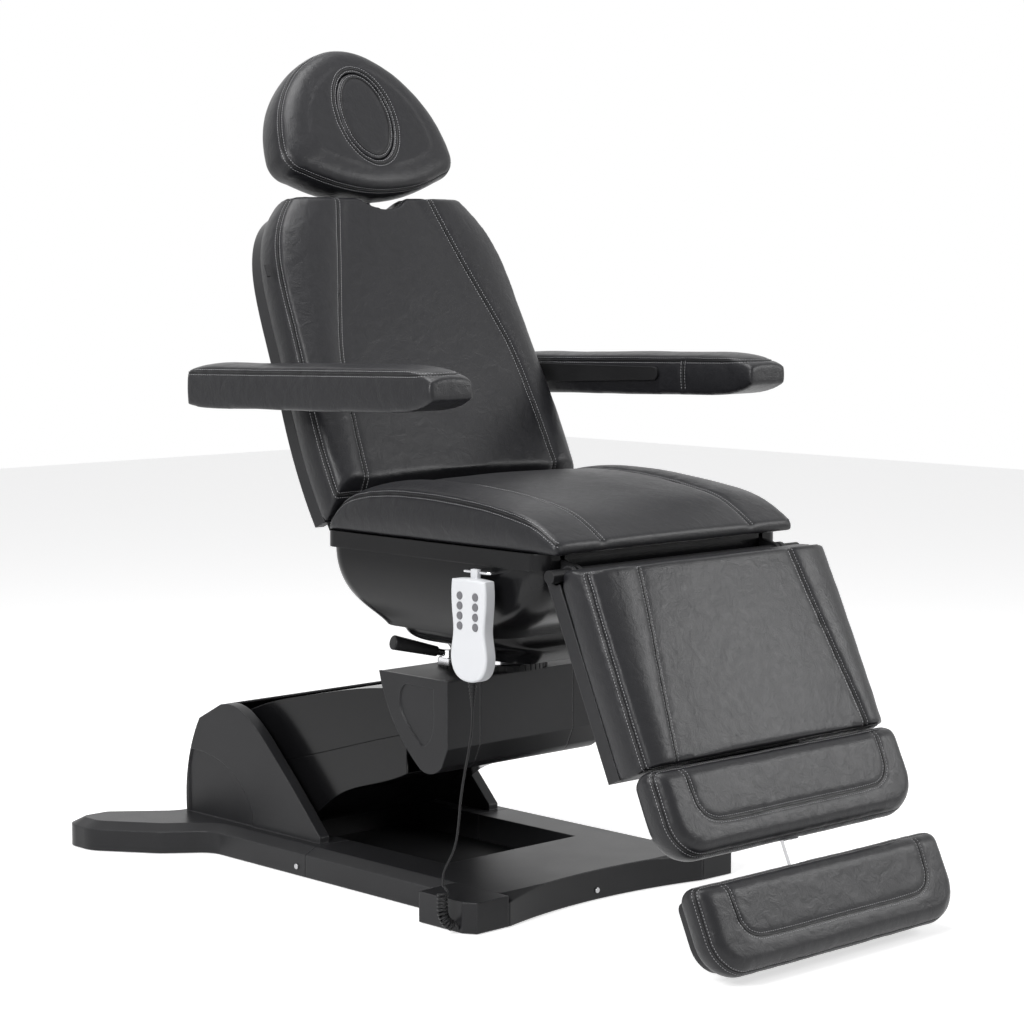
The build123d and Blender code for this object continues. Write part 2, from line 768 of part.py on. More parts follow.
def actuator_motor(start, end, offset_x, side, length, name):
    """A linear actuator's fixed part: eye, gearbox, motor can and outer tube."""
    dy, dz, _ = unit(start, end)
    axis = Plane(origin=(offset_x, *start), x_dir=(1, 0, 0), z_dir=(0, dy, dz))
    with BuildPart() as motor:
        with BuildSketch(axis.offset(gearbox_start)):
            with Locations((side * motor_offset / 2, 0)):
                RectangleRounded(motor_offset + 2 * motor_radius, 2 * motor_radius, motor_radius / 2)
        extrude(amount=gearbox_length)
        with BuildSketch(axis.offset(gearbox_start + gearbox_length)):
            with Locations((side * motor_offset, 0)):
                Circle(motor_radius - 2 * running)
        extrude(amount=motor_length)
        with BuildSketch(axis.offset(gearbox_start + gearbox_length)):
            Circle(tube_radius)
        extrude(amount=length - gearbox_start - gearbox_length)
        with BuildSketch(axis):
            Rectangle(eye_width, 2 * eye_radius)
        extrude(amount=gearbox_start)
        with BuildSketch(Plane.YZ.offset(offset_x - eye_width / 2)):
            with Locations(start):
                Circle(eye_radius)
        extrude(amount=eye_width)
        with BuildSketch(Plane.YZ.offset(offset_x - eye_width)):
            with Locations(start):
                Circle(eye_pin_radius + running)
        extrude(amount=2 * eye_width, mode=Mode.SUBTRACT)
        with BuildSketch(axis.offset(gearbox_start + gearbox_length)):
            Circle(rod_radius + running)
        extrude(amount=length, mode=Mode.SUBTRACT)
    finish(motor, name)


def actuator_rod(start, end, offset_x, inside, pin_radius, eye_play, name):
    """The extending rod, from inside the tube to its eye, which has room to drift."""
    dy, dz, length = unit(start, end)
    bore = pin_radius + eye_play
    axis = Plane(origin=(offset_x, *start), x_dir=(1, 0, 0), z_dir=(0, dy, dz))
    with BuildPart() as rod:
        with BuildSketch(axis.offset(inside)):
            Circle(rod_radius)
        extrude(amount=length - inside - bore - rod_eye_wall / 2)
        with BuildSketch(Plane.YZ.offset(offset_x - eye_width / 2)):
            with Locations(end):
                Circle(bore + rod_eye_wall)
        extrude(amount=eye_width)
        with BuildSketch(Plane.YZ.offset(offset_x - eye_width)):
            with Locations(end):
                Circle(bore)
        extrude(amount=2 * eye_width, mode=Mode.SUBTRACT)
    finish(rod, name)


def fork(pivot, root, width, root_radius, offset_x, pin_radius):
    """Two ears and the pin between them, to be added to the frame that carries them."""
    with BuildPart() as ears:
        for side in (-1, 1):
            with BuildSketch(Plane.YZ.offset(offset_x + side * (width / 2 + play))):
                add(link_profile(pivot, root, eye_radius, root_radius))
            extrude(amount=side * ear_thickness)
        with BuildSketch(Plane.YZ.offset(offset_x - width / 2 - play)):
            with Locations(pivot):
                Circle(pin_radius)
        extrude(amount=width + 2 * play)
    return ears.part


actuator_motor(lift_start, lift_end, 0, 1, lift_tube_length, "lift_motor")
actuator_rod(lift_start, lift_end, 0, lift_tube_length / 2, link_pin_radius, lift_eye_play, "lift_rod")

# Head frame: plates that hang from a deck, with the two front shafts of the linkage
head_rear = head_front + head_depth
with BuildPart() as head_frame:
    for side in (-1, 1):
        with BuildSketch(Plane.YZ.offset(side * head_plate_inner)):
            with Locations(head_hinge, link_head):
                Circle(head_eye_radius)
            with Locations(((head_front + head_rear) / 2, head_top - head_deck_thickness)):
                Rectangle(head_depth / 2, head_deck_thickness)
            make_hull()
        extrude(amount=side * head_plate_thickness)
    with Locations((0, (head_front + head_rear) / 2, head_top)):
        Box(2 * (head_half - head_side_wall - play), head_depth - 2 * (head_wall + play), head_deck_thickness,
            align=(Align.CENTER, Align.CENTER, Align.MAX))
    for pivot, radius in ((head_hinge, arm_pin_radius), (link_head, link_pin_radius)):
        with BuildSketch(Plane.YZ.offset(-head_plate_inner)):
            with Locations(pivot):
                Circle(radius)
        extrude(amount=2 * head_plate_inner)
    with Locations((0, swivel_y, head_top)):
        Cylinder(king_pin_radius + play, 2 * king_pin_length, mode=Mode.SUBTRACT)
finish(head_frame, "head_frame")

# Head covers: a front panel and two shields that wrap round to it
head_shares = [(1.0, 0.0), (0.838, -0.437), (0.402, -0.964), (0.251, -1.0), (0.084, -0.904), (0.0, -0.707),
               (0.0, 0.0)]
head_wrap_shares = [(-0.1, 0.1), (0.02, 0.1), (0.02, -0.5), (0.24, -0.86), (0.24, -1.2), (-0.1, -1.2)]
head_recess_shares = [(0.2, -0.1), (0.62, -0.1), (0.7, -0.28), (0.45, -0.66), (0.36, -0.72), (0.27, -0.66),
                      (0.2, -0.4)]


def head_face(inset):
    """The shield seen from the side: straight front, a rounded lower corner, a sloping rear."""
    points = place(head_shares, (head_front, head_top), head_depth, head_height)
    with BuildSketch() as face:
        with BuildLine():
            Spline(points[0], points[1], points[2])
            ThreePointArc(points[2], points[3], points[4])
            Line(points[4], points[5])
            Line(points[5], points[6])
            Line(points[6], points[0])
        make_face()
        if inset:
            offset(amount=-inset, kind=Kind.INTERSECTION)
    return face.sketch


def head_strip():
    """The wall that wraps round the front and the lower front corner."""
    with BuildSketch() as strip:
        add(head_face(0))
        add(head_face(head_wall), mode=Mode.SUBTRACT)
        with BuildLine():
            Polyline(*place(head_wrap_shares, (head_front, head_top), head_depth, head_height), close=True)
        make_face(mode=Mode.INTERSECT)
    return strip.sketch


with BuildPart() as head_front_cover:
    with BuildSketch(Plane.YZ.offset(-head_split)):
        add(head_strip())
    extrude(amount=2 * head_split)
finish(head_front_cover, "head_front_cover")

with BuildPart() as head_side_covers:
    for side in (-1, 1):
        with BuildSketch(Plane.YZ.offset(side * (head_half - head_side_wall))):
            add(head_face(0))
        extrude(amount=side * head_side_wall)
        with BuildSketch(Plane.YZ.offset(side * (head_split + cover_seam / 2))):
            add(head_strip())
        extrude(amount=side * (head_half - head_side_wall - head_split - cover_seam / 2))
        with BuildSketch(Plane.YZ.offset(side * (head_half - head_recess))):
            with BuildLine():
                recess_points = place(head_recess_shares, (head_front, head_top), head_depth, head_height)
                Line(recess_points[0], recess_points[1])
                Spline(*recess_points[1:], recess_points[0])
            make_face()
        extrude(amount=side * 2 * head_recess, mode=Mode.SUBTRACT)
finish(head_side_covers, "head_side_covers")

# Turntable: a notched disc on the head and a plain disc that turns on it
with BuildPart() as turntable_base:
    with Locations((0, swivel_y, head_top)):
        Cylinder(ring_disc_radius, ring_disc_height, align=(Align.CENTER, Align.CENTER, Align.MIN))
        Cylinder(king_pin_radius + running, 3 * ring_disc_height, mode=Mode.SUBTRACT)
    with Locations((0, swivel_y, head_top + ring_disc_height / 2)):
        with PolarLocations(ring_disc_radius, ring_teeth):
            Box(ring_tooth, ring_tooth, 2 * ring_disc_height, mode=Mode.SUBTRACT)
finish(turntable_base, "turntable_base")

disc_bottom = head_top + ring_disc_height + soft_gap
hub_top = disc_bottom + top_disc_height + hub_height
clamp_x = -ring_disc_radius - lever_hub_radius - play
with BuildPart() as turntable_top:
    with Locations((0, swivel_y, disc_bottom)):
        Cylinder(top_disc_radius, top_disc_height, align=(Align.CENTER, Align.CENTER, Align.MIN))
        Cylinder(hub_radius, top_disc_height + hub_height, align=(Align.CENTER, Align.CENTER, Align.MIN))
        Cylinder(king_pin_radius, king_pin_length, align=(Align.CENTER, Align.CENTER, Align.MAX))
    with Locations((clamp_x - lever_hub_radius, swivel_y, disc_bottom)):
        Box(-clamp_x + lever_hub_radius - hub_radius, clamp_width, clamp_height,
            align=(Align.MIN, Align.CENTER, Align.MIN))
    with Locations((clamp_x, swivel_y, disc_bottom)):
        Cylinder(lever_pin_radius, clamp_height + lever_hub_height, align=(Align.CENTER, Align.CENTER, Align.MIN))
finish(turntable_top, "turntable_top")

# Brake lever: a hub on the clamp's pin, a rod and a tapered grip
lever_plane = Plane(origin=(clamp_x, swivel_y, disc_bottom + clamp_height + lever_hub_height / 2 + soft_gap),
                    z_dir=(-math.cos(math.radians(lever_turn)), math.sin(math.radians(lever_turn)),
                           lever_climb / lever_length))
with BuildPart() as brake_lever:
    with Locations((clamp_x, swivel_y, disc_bottom + clamp_height + soft_gap)):
        Cylinder(lever_hub_radius, lever_hub_height, align=(Align.CENTER, Align.CENTER, Align.MIN))
    with BuildSketch(lever_plane):
        Circle(lever_radius)
    extrude(amount=lever_length)
    with Locations((clamp_x, swivel_y, disc_bottom + clamp_height)):
        Cylinder(lever_pin_radius + running, 4 * lever_hub_height, mode=Mode.SUBTRACT)
finish(brake_lever, "brake_lever")

grip_start = lever_hub_radius + 2 * lever_radius
with BuildPart() as lever_grip:
    with BuildSketch(lever_plane.offset(grip_start)):
        Circle(grip_root_radius)
    with BuildSketch(lever_plane.offset(grip_start + grip_length)):
        Circle(grip_end_radius)
    loft()
    fillet(lever_grip.edges().filter_by(GeomType.CIRCLE), grip_root_radius / 3)
    with BuildSketch(lever_plane.offset(grip_start - overrun)):
        Circle(lever_radius)
    extrude(amount=lever_length - grip_start + overrun, mode=Mode.SUBTRACT)
finish(lever_grip, "lever_grip")

# Lower shroud: a shallow tub on the turntable, below the tilting bowl
shroud_shares = [(0.0, 0.40, -0.13, 0.75, 0.15), (0.12, 0.42, -0.13, 0.80, 0.17), (0.42, 0.80, -0.16, 0.86, 0.36),
                 (1.0, 1.0, -0.17, 0.93, 0.40)]


def tub(shares, floor, height, half, inset, run):
    """A tub lofted through its levels, or with an inset the hollow inside it."""
    levels = []
    for level, width, rear, front, corner in shares:
        with BuildSketch(Plane.XY.offset(floor + level * height + (run if level else 0))) as slab:
            with Locations((0, swivel_y - (rear + front) * half / 2)):
                RectangleRounded(2 * (width * half - inset), (front - rear) * half - 2 * inset,
                                 corner * half - inset)
        levels.append(slab.sketch)
    with BuildPart() as solid:
        loft(sections=levels)
    return solid.part


shroud_outside = tub(shroud_shares, hub_top, shroud_height, shroud_half, 0, 0)
shroud_inside = tub(shroud_shares, hub_top + shroud_wall, shroud_height - shroud_wall, shroud_half, shroud_wall, overrun)
with BuildPart() as bowl_shroud:
    add(shroud_outside)
    add(shroud_inside, mode=Mode.SUBTRACT)
finish(bowl_shroud, "bowl_shroud")

# Tilt bracket: a base plate, two ears with stub shafts and the tilt motor's fork
bracket_floor = hub_top + shroud_wall
with BuildPart() as tilt_bracket:
    with Locations((0, (tilt_start[0] + tilt_axis[0]) / 2, bracket_floor)):
        Box(2 * (tilt_plate_inner + tilt_plate_thickness), tilt_start[0] - tilt_axis[0] + 2 * eye_radius,
            tilt_plate_thickness, align=(Align.CENTER, Align.CENTER, Align.MIN))
    for side in (-1, 1):
        with BuildSketch(Plane.YZ.offset(side * tilt_plate_inner)):
            with Locations(tilt_axis):
                Circle(tilt_bush_radius)
            with Locations((tilt_axis[0], bracket_floor)):
                Rectangle(2 * tilt_bush_radius, tilt_plate_thickness, align=(Align.CENTER, Align.MIN))
            make_hull()
        extrude(amount=side * tilt_plate_thickness)
        with BuildSketch(Plane.YZ.offset(side * tilt_plate_inner)):
            with Locations(tilt_axis):
                Circle(tilt_pin_radius)
        extrude(amount=side * (2 * tilt_plate_thickness + tilt_bush_length))
    add(fork(tilt_start, (tilt_start[0], bracket_floor + eye_radius / 2), eye_width, eye_radius / 2, 0, eye_pin_radius))
finish(tilt_bracket, "tilt_bracket")

actuator_motor(tilt_start, tilt_end, 0, 1, tilt_tube_length, "tilt_motor")
actuator_rod(tilt_start, tilt_end, 0, tilt_tube_length / 2, eye_pin_radius, tilt_eye_play, "tilt_rod")

# Seat frame: a ladder of tubes inside the rim, drop plates to the tilt shaft,
# lugs for the back and the knee, and forks for the three motors
frame_floor = rim_top - seat_tube - soft_gap
rim_inside = seat_half - rim_wall
drop_inner = tilt_plate_inner + 2 * tilt_plate_thickness
with BuildPart() as seat_frame:
    for side in (-1, 1):
        with Locations((side * seat_tube_x, seat_rear_y, frame_floor)):
            Box(seat_tube, seat_rear_y - seat_front_y, seat_tube, align=(Align.CENTER, Align.MAX, Align.MIN))
    for cross_y, cross_half in ((seat_rear_y, rim_inside - play), (tilt_axis[0], seat_tube_x),
                                (seat_mid_y, seat_tube_x), (seat_front_y + seat_tube, rim_inside - play)):
        with Locations((0, cross_y, frame_floor)):
            Box(2 * cross_half, seat_tube, seat_tube, align=(Align.CENTER, Align.MAX, Align.MIN))
    for side in (-1, 1):
        with BuildSketch(Plane.YZ.offset(side * drop_inner)):
            with Locations(tilt_axis):
                Circle(tilt_bush_radius)
            with Locations((tilt_axis[0] - seat_tube / 2, frame_floor)):
                Rectangle(4 * seat_tube, seat_tube / 2, align=(Align.CENTER, Align.MIN))
            make_hull()
            with Locations(tilt_axis):
                Circle(tilt_pin_radius + running, mode=Mode.SUBTRACT)
        extrude(amount=side * tilt_plate_thickness)
        for hinge, root_y in ((back_hinge, seat_rear_y - seat_tube / 2), (knee_hinge, seat_front_y + seat_tube / 2)):
            with BuildSketch(Plane.YZ.offset(side * seat_lug_inner)):
                add(link_profile(hinge, (root_y, frame_floor + seat_tube / 2), lug_radius, seat_tube / 3))
            extrude(amount=side * lug_thickness)
    for pivot, root_y, offset_x in ((tilt_end, seat_mid_y, 0), (back_start, seat_mid_y, back_motor_x),
                                    (leg_start, seat_mid_y, leg_motor_x)):
        add(fork(pivot, (root_y - seat_tube / 2, frame_floor + seat_tube / 3), eye_width, seat_tube / 3, offset_x,
                 eye_pin_radius))
    for hinge, bore in ((back_hinge, hinge_pin_radius), (knee_hinge, knee_tube_radius)):
        with BuildSketch(Plane.YZ.offset(-seat_half)):
            with Locations(hinge):
                Circle(bore + running)
        extrude(amount=2 * seat_half, mode=Mode.SUBTRACT)
finish(seat_frame, "seat_frame")

# Hinge pins: two short pins for the back and one long tube at the knee
with BuildPart() as hinge_pins:
    for side in (-1, 1):
        with BuildSketch(Plane.YZ.offset(side * (seat_lug_inner - play))):
            with Locations(back_hinge):
                Circle(hinge_pin_radius)
        extrude(amount=side * (back_lug_inner + lug_thickness - seat_lug_inner + 2 * play))
    with BuildSketch(Plane.YZ.offset(-knee_tube_half)):
        with Locations(knee_hinge):
            Circle(knee_tube_radius)
    extrude(amount=2 * knee_tube_half)
finish(hinge_pins, "hinge_pins")

# Seat shell: a rim band above a tapering bowl, with windows for the rods and lugs
bowl_shares = [(0.0, 0.845, -0.165, 0.93, 0.24), (0.17, 0.885, -0.245, 1.10, 0.21), (0.44, 0.952, -0.34, 1.29, 0.17),
               (0.86, 0.985, -0.39, 1.42, 0.13), (1.0, 0.985, -0.397, 1.435, 0.13)]
bowl_floor = 478.0
bowl_outside = tub(bowl_shares, bowl_floor, rim_bottom - bowl_floor, seat_half, 0, 0)
bowl_inside = tub(bowl_shares, bowl_floor, rim_bottom - bowl_floor, seat_half, plastic, overrun)
rim_length = rim_rear - rim_front
with BuildPart() as seat_shell:
    add(bowl_outside)
    with BuildSketch(Plane.XY.offset(rim_bottom)):
        with Locations((0, (rim_rear + rim_front) / 2)):
            RectangleRounded(2 * seat_half, rim_length, rim_corner)
    extrude(amount=rim_top - rim_bottom)
    add(bowl_inside, mode=Mode.SUBTRACT)
    with BuildSketch(Plane.XY.offset(rim_bottom)):
        with Locations((0, (rim_rear + rim_front) / 2)):
            RectangleRounded(2 * rim_inside, rim_length - 2 * rim_wall, rim_corner - rim_wall)
    extrude(amount=rim_top, mode=Mode.SUBTRACT)
    with Locations((0, (rim_rear + rim_front) / 2, bowl_floor)):
        Box(2 * seat_half, 2 * rim_length, bowl_floor / 2, mode=Mode.SUBTRACT,
            align=(Align.CENTER, Align.CENTER, Align.MAX))
    for side in (-1, 1):
        with Locations((side * (seat_lug_inner + lug_thickness / 2), (rim_rear + rim_front) / 2, back_hinge[1])):
            Box(lug_thickness + 2 * lug_gap, 2 * rim_length, 2.6 * lug_depth, mode=Mode.SUBTRACT)
        with Locations((side * (back_lug_inner + lug_thickness / 2), rim_rear, back_hinge[1])):
            Box(lug_thickness + 2 * lug_gap, 2 * lug_radius, 2 * lug_depth, mode=Mode.SUBTRACT)
    with Locations((back_motor_x, rim_rear, rim_top + overrun)):
        Box(window_width, 4 * window_width, window_rear_depth, mode=Mode.SUBTRACT,
            align=(Align.CENTER, Align.CENTER, Align.MAX))
    with Locations((leg_motor_x, rim_front, rim_bottom - window_drop)):
        Box(window_width, 4 * window_width, window_front_depth, mode=Mode.SUBTRACT,
            align=(Align.CENTER, Align.CENTER, Align.MAX))
finish(seat_shell, "seat_shell")

# Seat cushion: wings, two sewn channels and a waterfall front
seat_shares = [(0.0, 0.12, 0.70), (0.035, 0.42, 0.70), (0.085, 0.68, 0.695), (0.16, 0.85, 0.69), (0.27, 0.95, 0.68),
               (0.42, 0.97, 0.665), (0.57, 0.92, 0.65), (0.71, 0.82, 0.64), (0.86, 0.60, 0.63), (0.96, 0.22, 0.63)]
seat_floor = rim_top + soft_gap
seat_back_y = rim_rear - rim_wall
seat_levels = []
for run, rise, seam in seat_shares:
    seat_levels.append(channelled(Plane.XZ.offset(-seat_back_y + run * seat_cushion_length), seat_cushion_half,
                                  seam * seat_cushion_half, seat_floor, seat_floor + rise * seat_cushion_rise,
                                  seat_swell * rise, seat_crown * rise ** 2, channel_depth * rise,
                                  middle_crown * rise))
with BuildPart() as seat_cushion:
    loft(sections=seat_levels)
    for side in (-1, 1):
        with BuildSketch(Plane.YZ.offset(side * (seat_lug_inner - play))):
            add(link_profile(back_hinge, (seat_rear_y - seat_tube / 2, frame_floor + seat_tube / 2),
                             lug_radius + play, seat_tube / 3 + play))
        extrude(amount=side * (lug_thickness + 2 * play), mode=Mode.SUBTRACT)
finish(seat_cushion, "seat_cushion")

# Back rest: a crowned cushion with two channels, a shell behind it and a tube frame
back_plane = lean_plane(back_root, back_lean)
back_shares = [(-0.09, 0.975, 0.80), (0.11, 0.997, 0.775), (0.25, 0.99, 0.755), (0.45, 0.96, 0.70), (0.70, 0.93, 0.545),
               (0.84, 0.876, 0.46), (0.94, 0.77, 0.40), (1.02, 0.62, 0.37)]
back_low_shares = [(-0.076, -1.0), (-0.065, -0.63), (-0.036, -0.26), (0.007, 0.09), (0.05, 0.6)]
back_high_shares = [(0.95, 0.6), (0.982, 0.14), (1.0, -0.28), (1.0, -1.0)]
back_levels = []
for run, half, seam in back_shares:
    back_levels.append(channelled(station(back_plane, run * back_length), half * back_half, seam * half * back_half,
                                  -back_pad_depth, 0, back_swell, back_crown, channel_depth, middle_crown))


def end_profile(low, high, length, depth):
    """The side view of a pad with both ends rounded, from shares of its length and depth."""
    low_points = [(a * length, b * depth) for a, b in low]
    high_points = [(a * length, b * depth) for a, b in high]
    with BuildSketch() as profile:
        with BuildLine():
            Spline(*low_points)
            Line(low_points[-1], high_points[0])
            Spline(*high_points)
            Line(high_points[-1], low_points[0])
        make_face()
    return profile.sketch


def lug_notches(hinge, root, root_radius):
    """The room that a moving pad leaves for the lugs that carry it."""
    with BuildPart() as notches:
        for side in (-1, 1):
            with BuildSketch(Plane.YZ.offset(side * (back_lug_inner - play))):
                add(link_profile(hinge, root, lug_radius + play, root_radius + play))
            extrude(amount=side * (lug_thickness + 2 * play))
    return notches.part


shell_front = -back_pad_depth - soft_gap
shell_back = shell_front - back_shell_depth
back_tube_off = (shell_front + shell_back) / 2
armrest_run = back_plane.to_local_coords(Vector(0, *armrest_hinge)).Y
lower_cross = back_tube / 2
back_lug_root = across(back_plane, lower_cross, back_tube_off)
with BuildPart() as back_cushion:
    loft(sections=back_levels)
    with BuildSketch(side_plane(back_plane, 2 * back_half)):
        add(end_profile(back_low_shares, back_high_shares, back_length, back_pad_depth))
    extrude(amount=4 * back_half, mode=Mode.INTERSECT)
    with BuildSketch(back_plane.offset(-back_pad_depth)):
        with Locations((0, neck_center)):
            Circle(neck_radius)
    extrude(amount=2 * back_pad_depth, mode=Mode.SUBTRACT)
    with BuildSketch(Plane.YZ.offset(-back_half)):
        with Locations(back_hinge):
            Circle(lug_radius + groove_gap)
    extrude(amount=2 * back_half, mode=Mode.SUBTRACT)
    add(lug_notches(back_hinge, back_lug_root, back_tube / 2), mode=Mode.SUBTRACT)
finish(back_cushion, "back_cushion")


def back_outline(inset):
    """The back's front view, drawn in by an inset."""
    low = back_low_shares[0][0] * back_length + inset
    high = back_length - inset
    side = [(half * back_half - inset, min(max(run * back_length, low), high)) for run, half, _ in back_shares]
    with BuildSketch() as outline:
        with BuildLine():
            Spline(*side)
            Line(side[-1], (-side[-1][0], high))
            Spline(*[(-x, y) for x, y in reversed(side)])
            Line((-side[0][0], low), side[0])
        make_face()
        with Locations((0, neck_center)):
            Circle(neck_radius + inset, mode=Mode.SUBTRACT)
    return outline.sketch


with BuildPart() as back_shell:
    with BuildSketch(back_plane.offset(shell_back)):
        add(back_outline(shell_inset))
    extrude(amount=back_shell_depth)
    with BuildSketch(back_plane.offset(shell_back + shell_wall)):
        add(back_outline(shell_inset + shell_wall))
    extrude(amount=back_shell_depth, mode=Mode.SUBTRACT)
    for side in (-1, 1):
        with BuildSketch(Plane.YZ.offset(side * (seat_lug_inner - lug_gap - groove_gap))):
            with Locations(back_hinge):
                Circle(lug_depth)
        extrude(amount=side * (back_lug_inner + lug_thickness - seat_lug_inner + 2 * (lug_gap + groove_gap)),
                mode=Mode.SUBTRACT)
    with BuildSketch(Plane.YZ.offset(back_motor_x - window_width / 2)):
        with Locations(across(back_plane, 0, shell_back)):
            Circle(window_width)
    extrude(amount=window_width, mode=Mode.SUBTRACT)
    with BuildSketch(Plane.YZ.offset(-back_half)):
        with Locations(armrest_hinge):
            Circle(armrest_pin_radius + play)
    extrude(amount=2 * back_half, mode=Mode.SUBTRACT)
    for side in (-1, 1):
        with BuildSketch(station(back_plane, back_length / 2)):
            with Locations((side * post_x, post_off)):
                Circle(post_radius + play)
        extrude(amount=-back_length, mode=Mode.SUBTRACT)
finish(back_shell, "back_shell")

bracket_outer = armrest_inner - soft_gap
with BuildPart() as back_frame:
    with BuildSketch(back_plane.offset(back_tube_off - back_tube / 2)):
        with Locations(*[(side * back_tube_x, 0) for side in (-1, 1)]):
            Rectangle(back_tube, post_low + back_length / 4 - post_radius, align=(Align.CENTER, Align.MIN))
        for run, reach in ((lower_cross, back_cross_half), (armrest_run, back_cross_half),
                           (post_low + back_length / 4 - back_tube, back_tube_x)):
            with Locations((0, run)):
                Rectangle(2 * reach, back_tube)
    extrude(amount=back_tube)
    for side in (-1, 1):
        with BuildSketch(Plane.YZ.offset(side * back_lug_inner)):
            add(link_profile(back_hinge, back_lug_root, lug_radius, back_tube / 2))
        extrude(amount=side * lug_thickness)
        with BuildSketch(Plane.YZ.offset(side * (back_cross_half - back_tube))):
            with Locations(armrest_hinge):
                Circle(armrest_pin_radius)
        extrude(amount=side * (bracket_outer - play - back_cross_half + back_tube))
    add(fork(back_end, back_lug_root, eye_width, back_tube / 2, back_motor_x, eye_pin_radius))
    with BuildSketch(Plane.YZ.offset(-back_half)):
        with Locations(back_hinge):
            Circle(hinge_pin_radius + running)
    extrude(amount=2 * back_half, mode=Mode.SUBTRACT)
    for side in (-1, 1):
        with BuildSketch(station(back_plane, 0)):
            with Locations((side * post_x, post_off)):
                Circle(post_radius + running)
        extrude(amount=-back_length, mode=Mode.SUBTRACT)
finish(back_frame, "back_frame")

actuator_motor(back_start, back_end, back_motor_x, 1, back_tube_length, "back_motor")
actuator_rod(back_start, back_end, back_motor_x, back_tube_length * 2 / 3, eye_pin_radius, back_eye_play, "back_rod")

# Headrest: an egg-shaped pad with an oval plug, hinged on a post of two rods
pad_side_shares = [(0.0, -1.0), (0.84, -0.74), (0.966, -0.63), (1.0, -0.455), (0.93, 0.0), (0.37, 0.86), (0.0, 1.0)]
pad_level_shares = [(-1.0, 0.84), (-0.72, 0.96), (-0.2, 1.0), (0.2, 0.975), (0.40, 0.88), (0.50, 0.68)]


def egg(frame, scale):
    """The headrest's outline, drawn in about its middle."""
    points = [(a * scale * head_pad_width, head_pad_center + b * scale * head_pad_height) for a, b in pad_side_shares]
    mirror_points = [(-x, y) for x, y in points]
    with BuildSketch(frame) as outline:
        with BuildLine():
            ThreePointArc(mirror_points[1], points[0], points[1])
            ThreePointArc(points[1], points[2], points[3])
            ThreePointArc(points[3], points[4], points[5])
            ThreePointArc(points[5], points[6], mirror_points[5])
            ThreePointArc(mirror_points[5], mirror_points[4], mirror_points[3])
            ThreePointArc(mirror_points[3], mirror_points[2], mirror_points[1])
        make_face()
    return outline.sketch


pad_levels = [egg(back_plane.offset(level * head_pad_depth), scale) for level, scale in pad_level_shares]
socket_place = across(back_plane, post_top, post_off)
with BuildPart() as headrest_cushion:
    loft(sections=pad_levels)
    with BuildSketch(back_plane.offset(-2 * head_pad_depth)):
        with Locations((0, head_pad_center)):
            Ellipse(oval_half_width, oval_half_height)
    extrude(amount=4 * head_pad_depth, mode=Mode.SUBTRACT)
    with BuildSketch(back_plane.offset(-head_pad_depth - socket_depth)):
        with Locations((0, post_top)):
            RectangleRounded(2 * socket_half, socket_height, socket_height / 5)
    extrude(amount=socket_depth + overrun)
    with BuildSketch(Plane.YZ.offset(-socket_half)):
        with Locations(socket_place):
            Circle(post_bar_radius + running)
    extrude(amount=2 * socket_half, mode=Mode.SUBTRACT)
finish(headrest_cushion, "headrest_cushion")

with BuildPart() as face_plug:
    with BuildSketch(back_plane.offset(-head_pad_depth)):
        with Locations((0, head_pad_center)):
            Ellipse(oval_half_width - oval_gap, oval_half_height - oval_gap)
    extrude(amount=head_pad_depth * (1 + pad_level_shares[-1][0]))
    fillet(face_plug.faces().sort_by(SortBy.AREA)[-2:].edges(), plug_crown)
finish(face_plug, "face_plug")

with BuildPart() as headrest_post:
    for side in (-1, 1):
        with BuildSketch(station(back_plane, post_low)):
            with Locations((side * post_x, post_off)):
                Circle(post_radius)
        extrude(amount=post_low - post_top)
    with BuildSketch(Plane.YZ.offset(-post_x - post_bar_radius)):
        with Locations(socket_place):
            Circle(post_bar_radius)
    extrude(amount=2 * (post_x + post_bar_radius))
finish(headrest_post, "headrest_post")

# Armrests: a padded bar on a steel bracket that turns on the back's side pin
armrest_forward = (0, -math.cos(math.radians(armrest_rise)), math.sin(math.radians(armrest_rise)))
pad_shares = [(0.0, 0.84), (0.05, 0.965), (0.2, 1.0), (0.42, 1.0), (0.64, 1.0), (0.84, 0.985), (0.94, 0.84), (1.0, 0.45)]
pad_width = armrest_outer - armrest_inner - 2 * armrest_swell
for side, word in ((-1, "right"), (1, "left")):
    pad_x = side * (armrest_inner + armrest_outer) / 2
    arm_levels = []
    for run, height in pad_shares:
        level = Plane(origin=(0, *armrest_hinge), x_dir=(1, 0, 0), z_dir=armrest_forward)
        level = level.offset(run * armrest_length - armrest_rear_reach)
        half_height = height * armrest_half_height
        arm_levels.append(plain_section(level, pad_x, pad_width / 2, -half_height, half_height - armrest_crown,
                                        armrest_swell, armrest_crown))
    with BuildPart() as armrest_pad:
        loft(sections=arm_levels)
    finish(armrest_pad, f"{word}_armrest_pad")
    bracket_tip = (armrest_hinge[0] + bracket_reach * armrest_forward[1],
                   armrest_hinge[1] + bracket_reach * armrest_forward[2])
    with BuildPart() as armrest_bracket:
        with BuildSketch(Plane.YZ.offset(side * bracket_outer)):
            add(link_profile(armrest_hinge, bracket_tip, bracket_half_height, bracket_half_height * 2 / 3))
        extrude(amount=-side * bracket_thickness)
        with BuildSketch(Plane.YZ.offset(side * bracket_outer)):
            with Locations(armrest_hinge):
                Circle(bracket_boss_radius)
        extrude(amount=-side * (bracket_thickness + bracket_boss_length))
        with BuildSketch(Plane.YZ.offset(side * bracket_outer)):
            with Locations(armrest_hinge):
                Circle(armrest_pin_radius + running)
        extrude(amount=-side * 2 * bracket_boss_length, mode=Mode.SUBTRACT)
    finish(armrest_bracket, f"{word}_armrest_bracket")

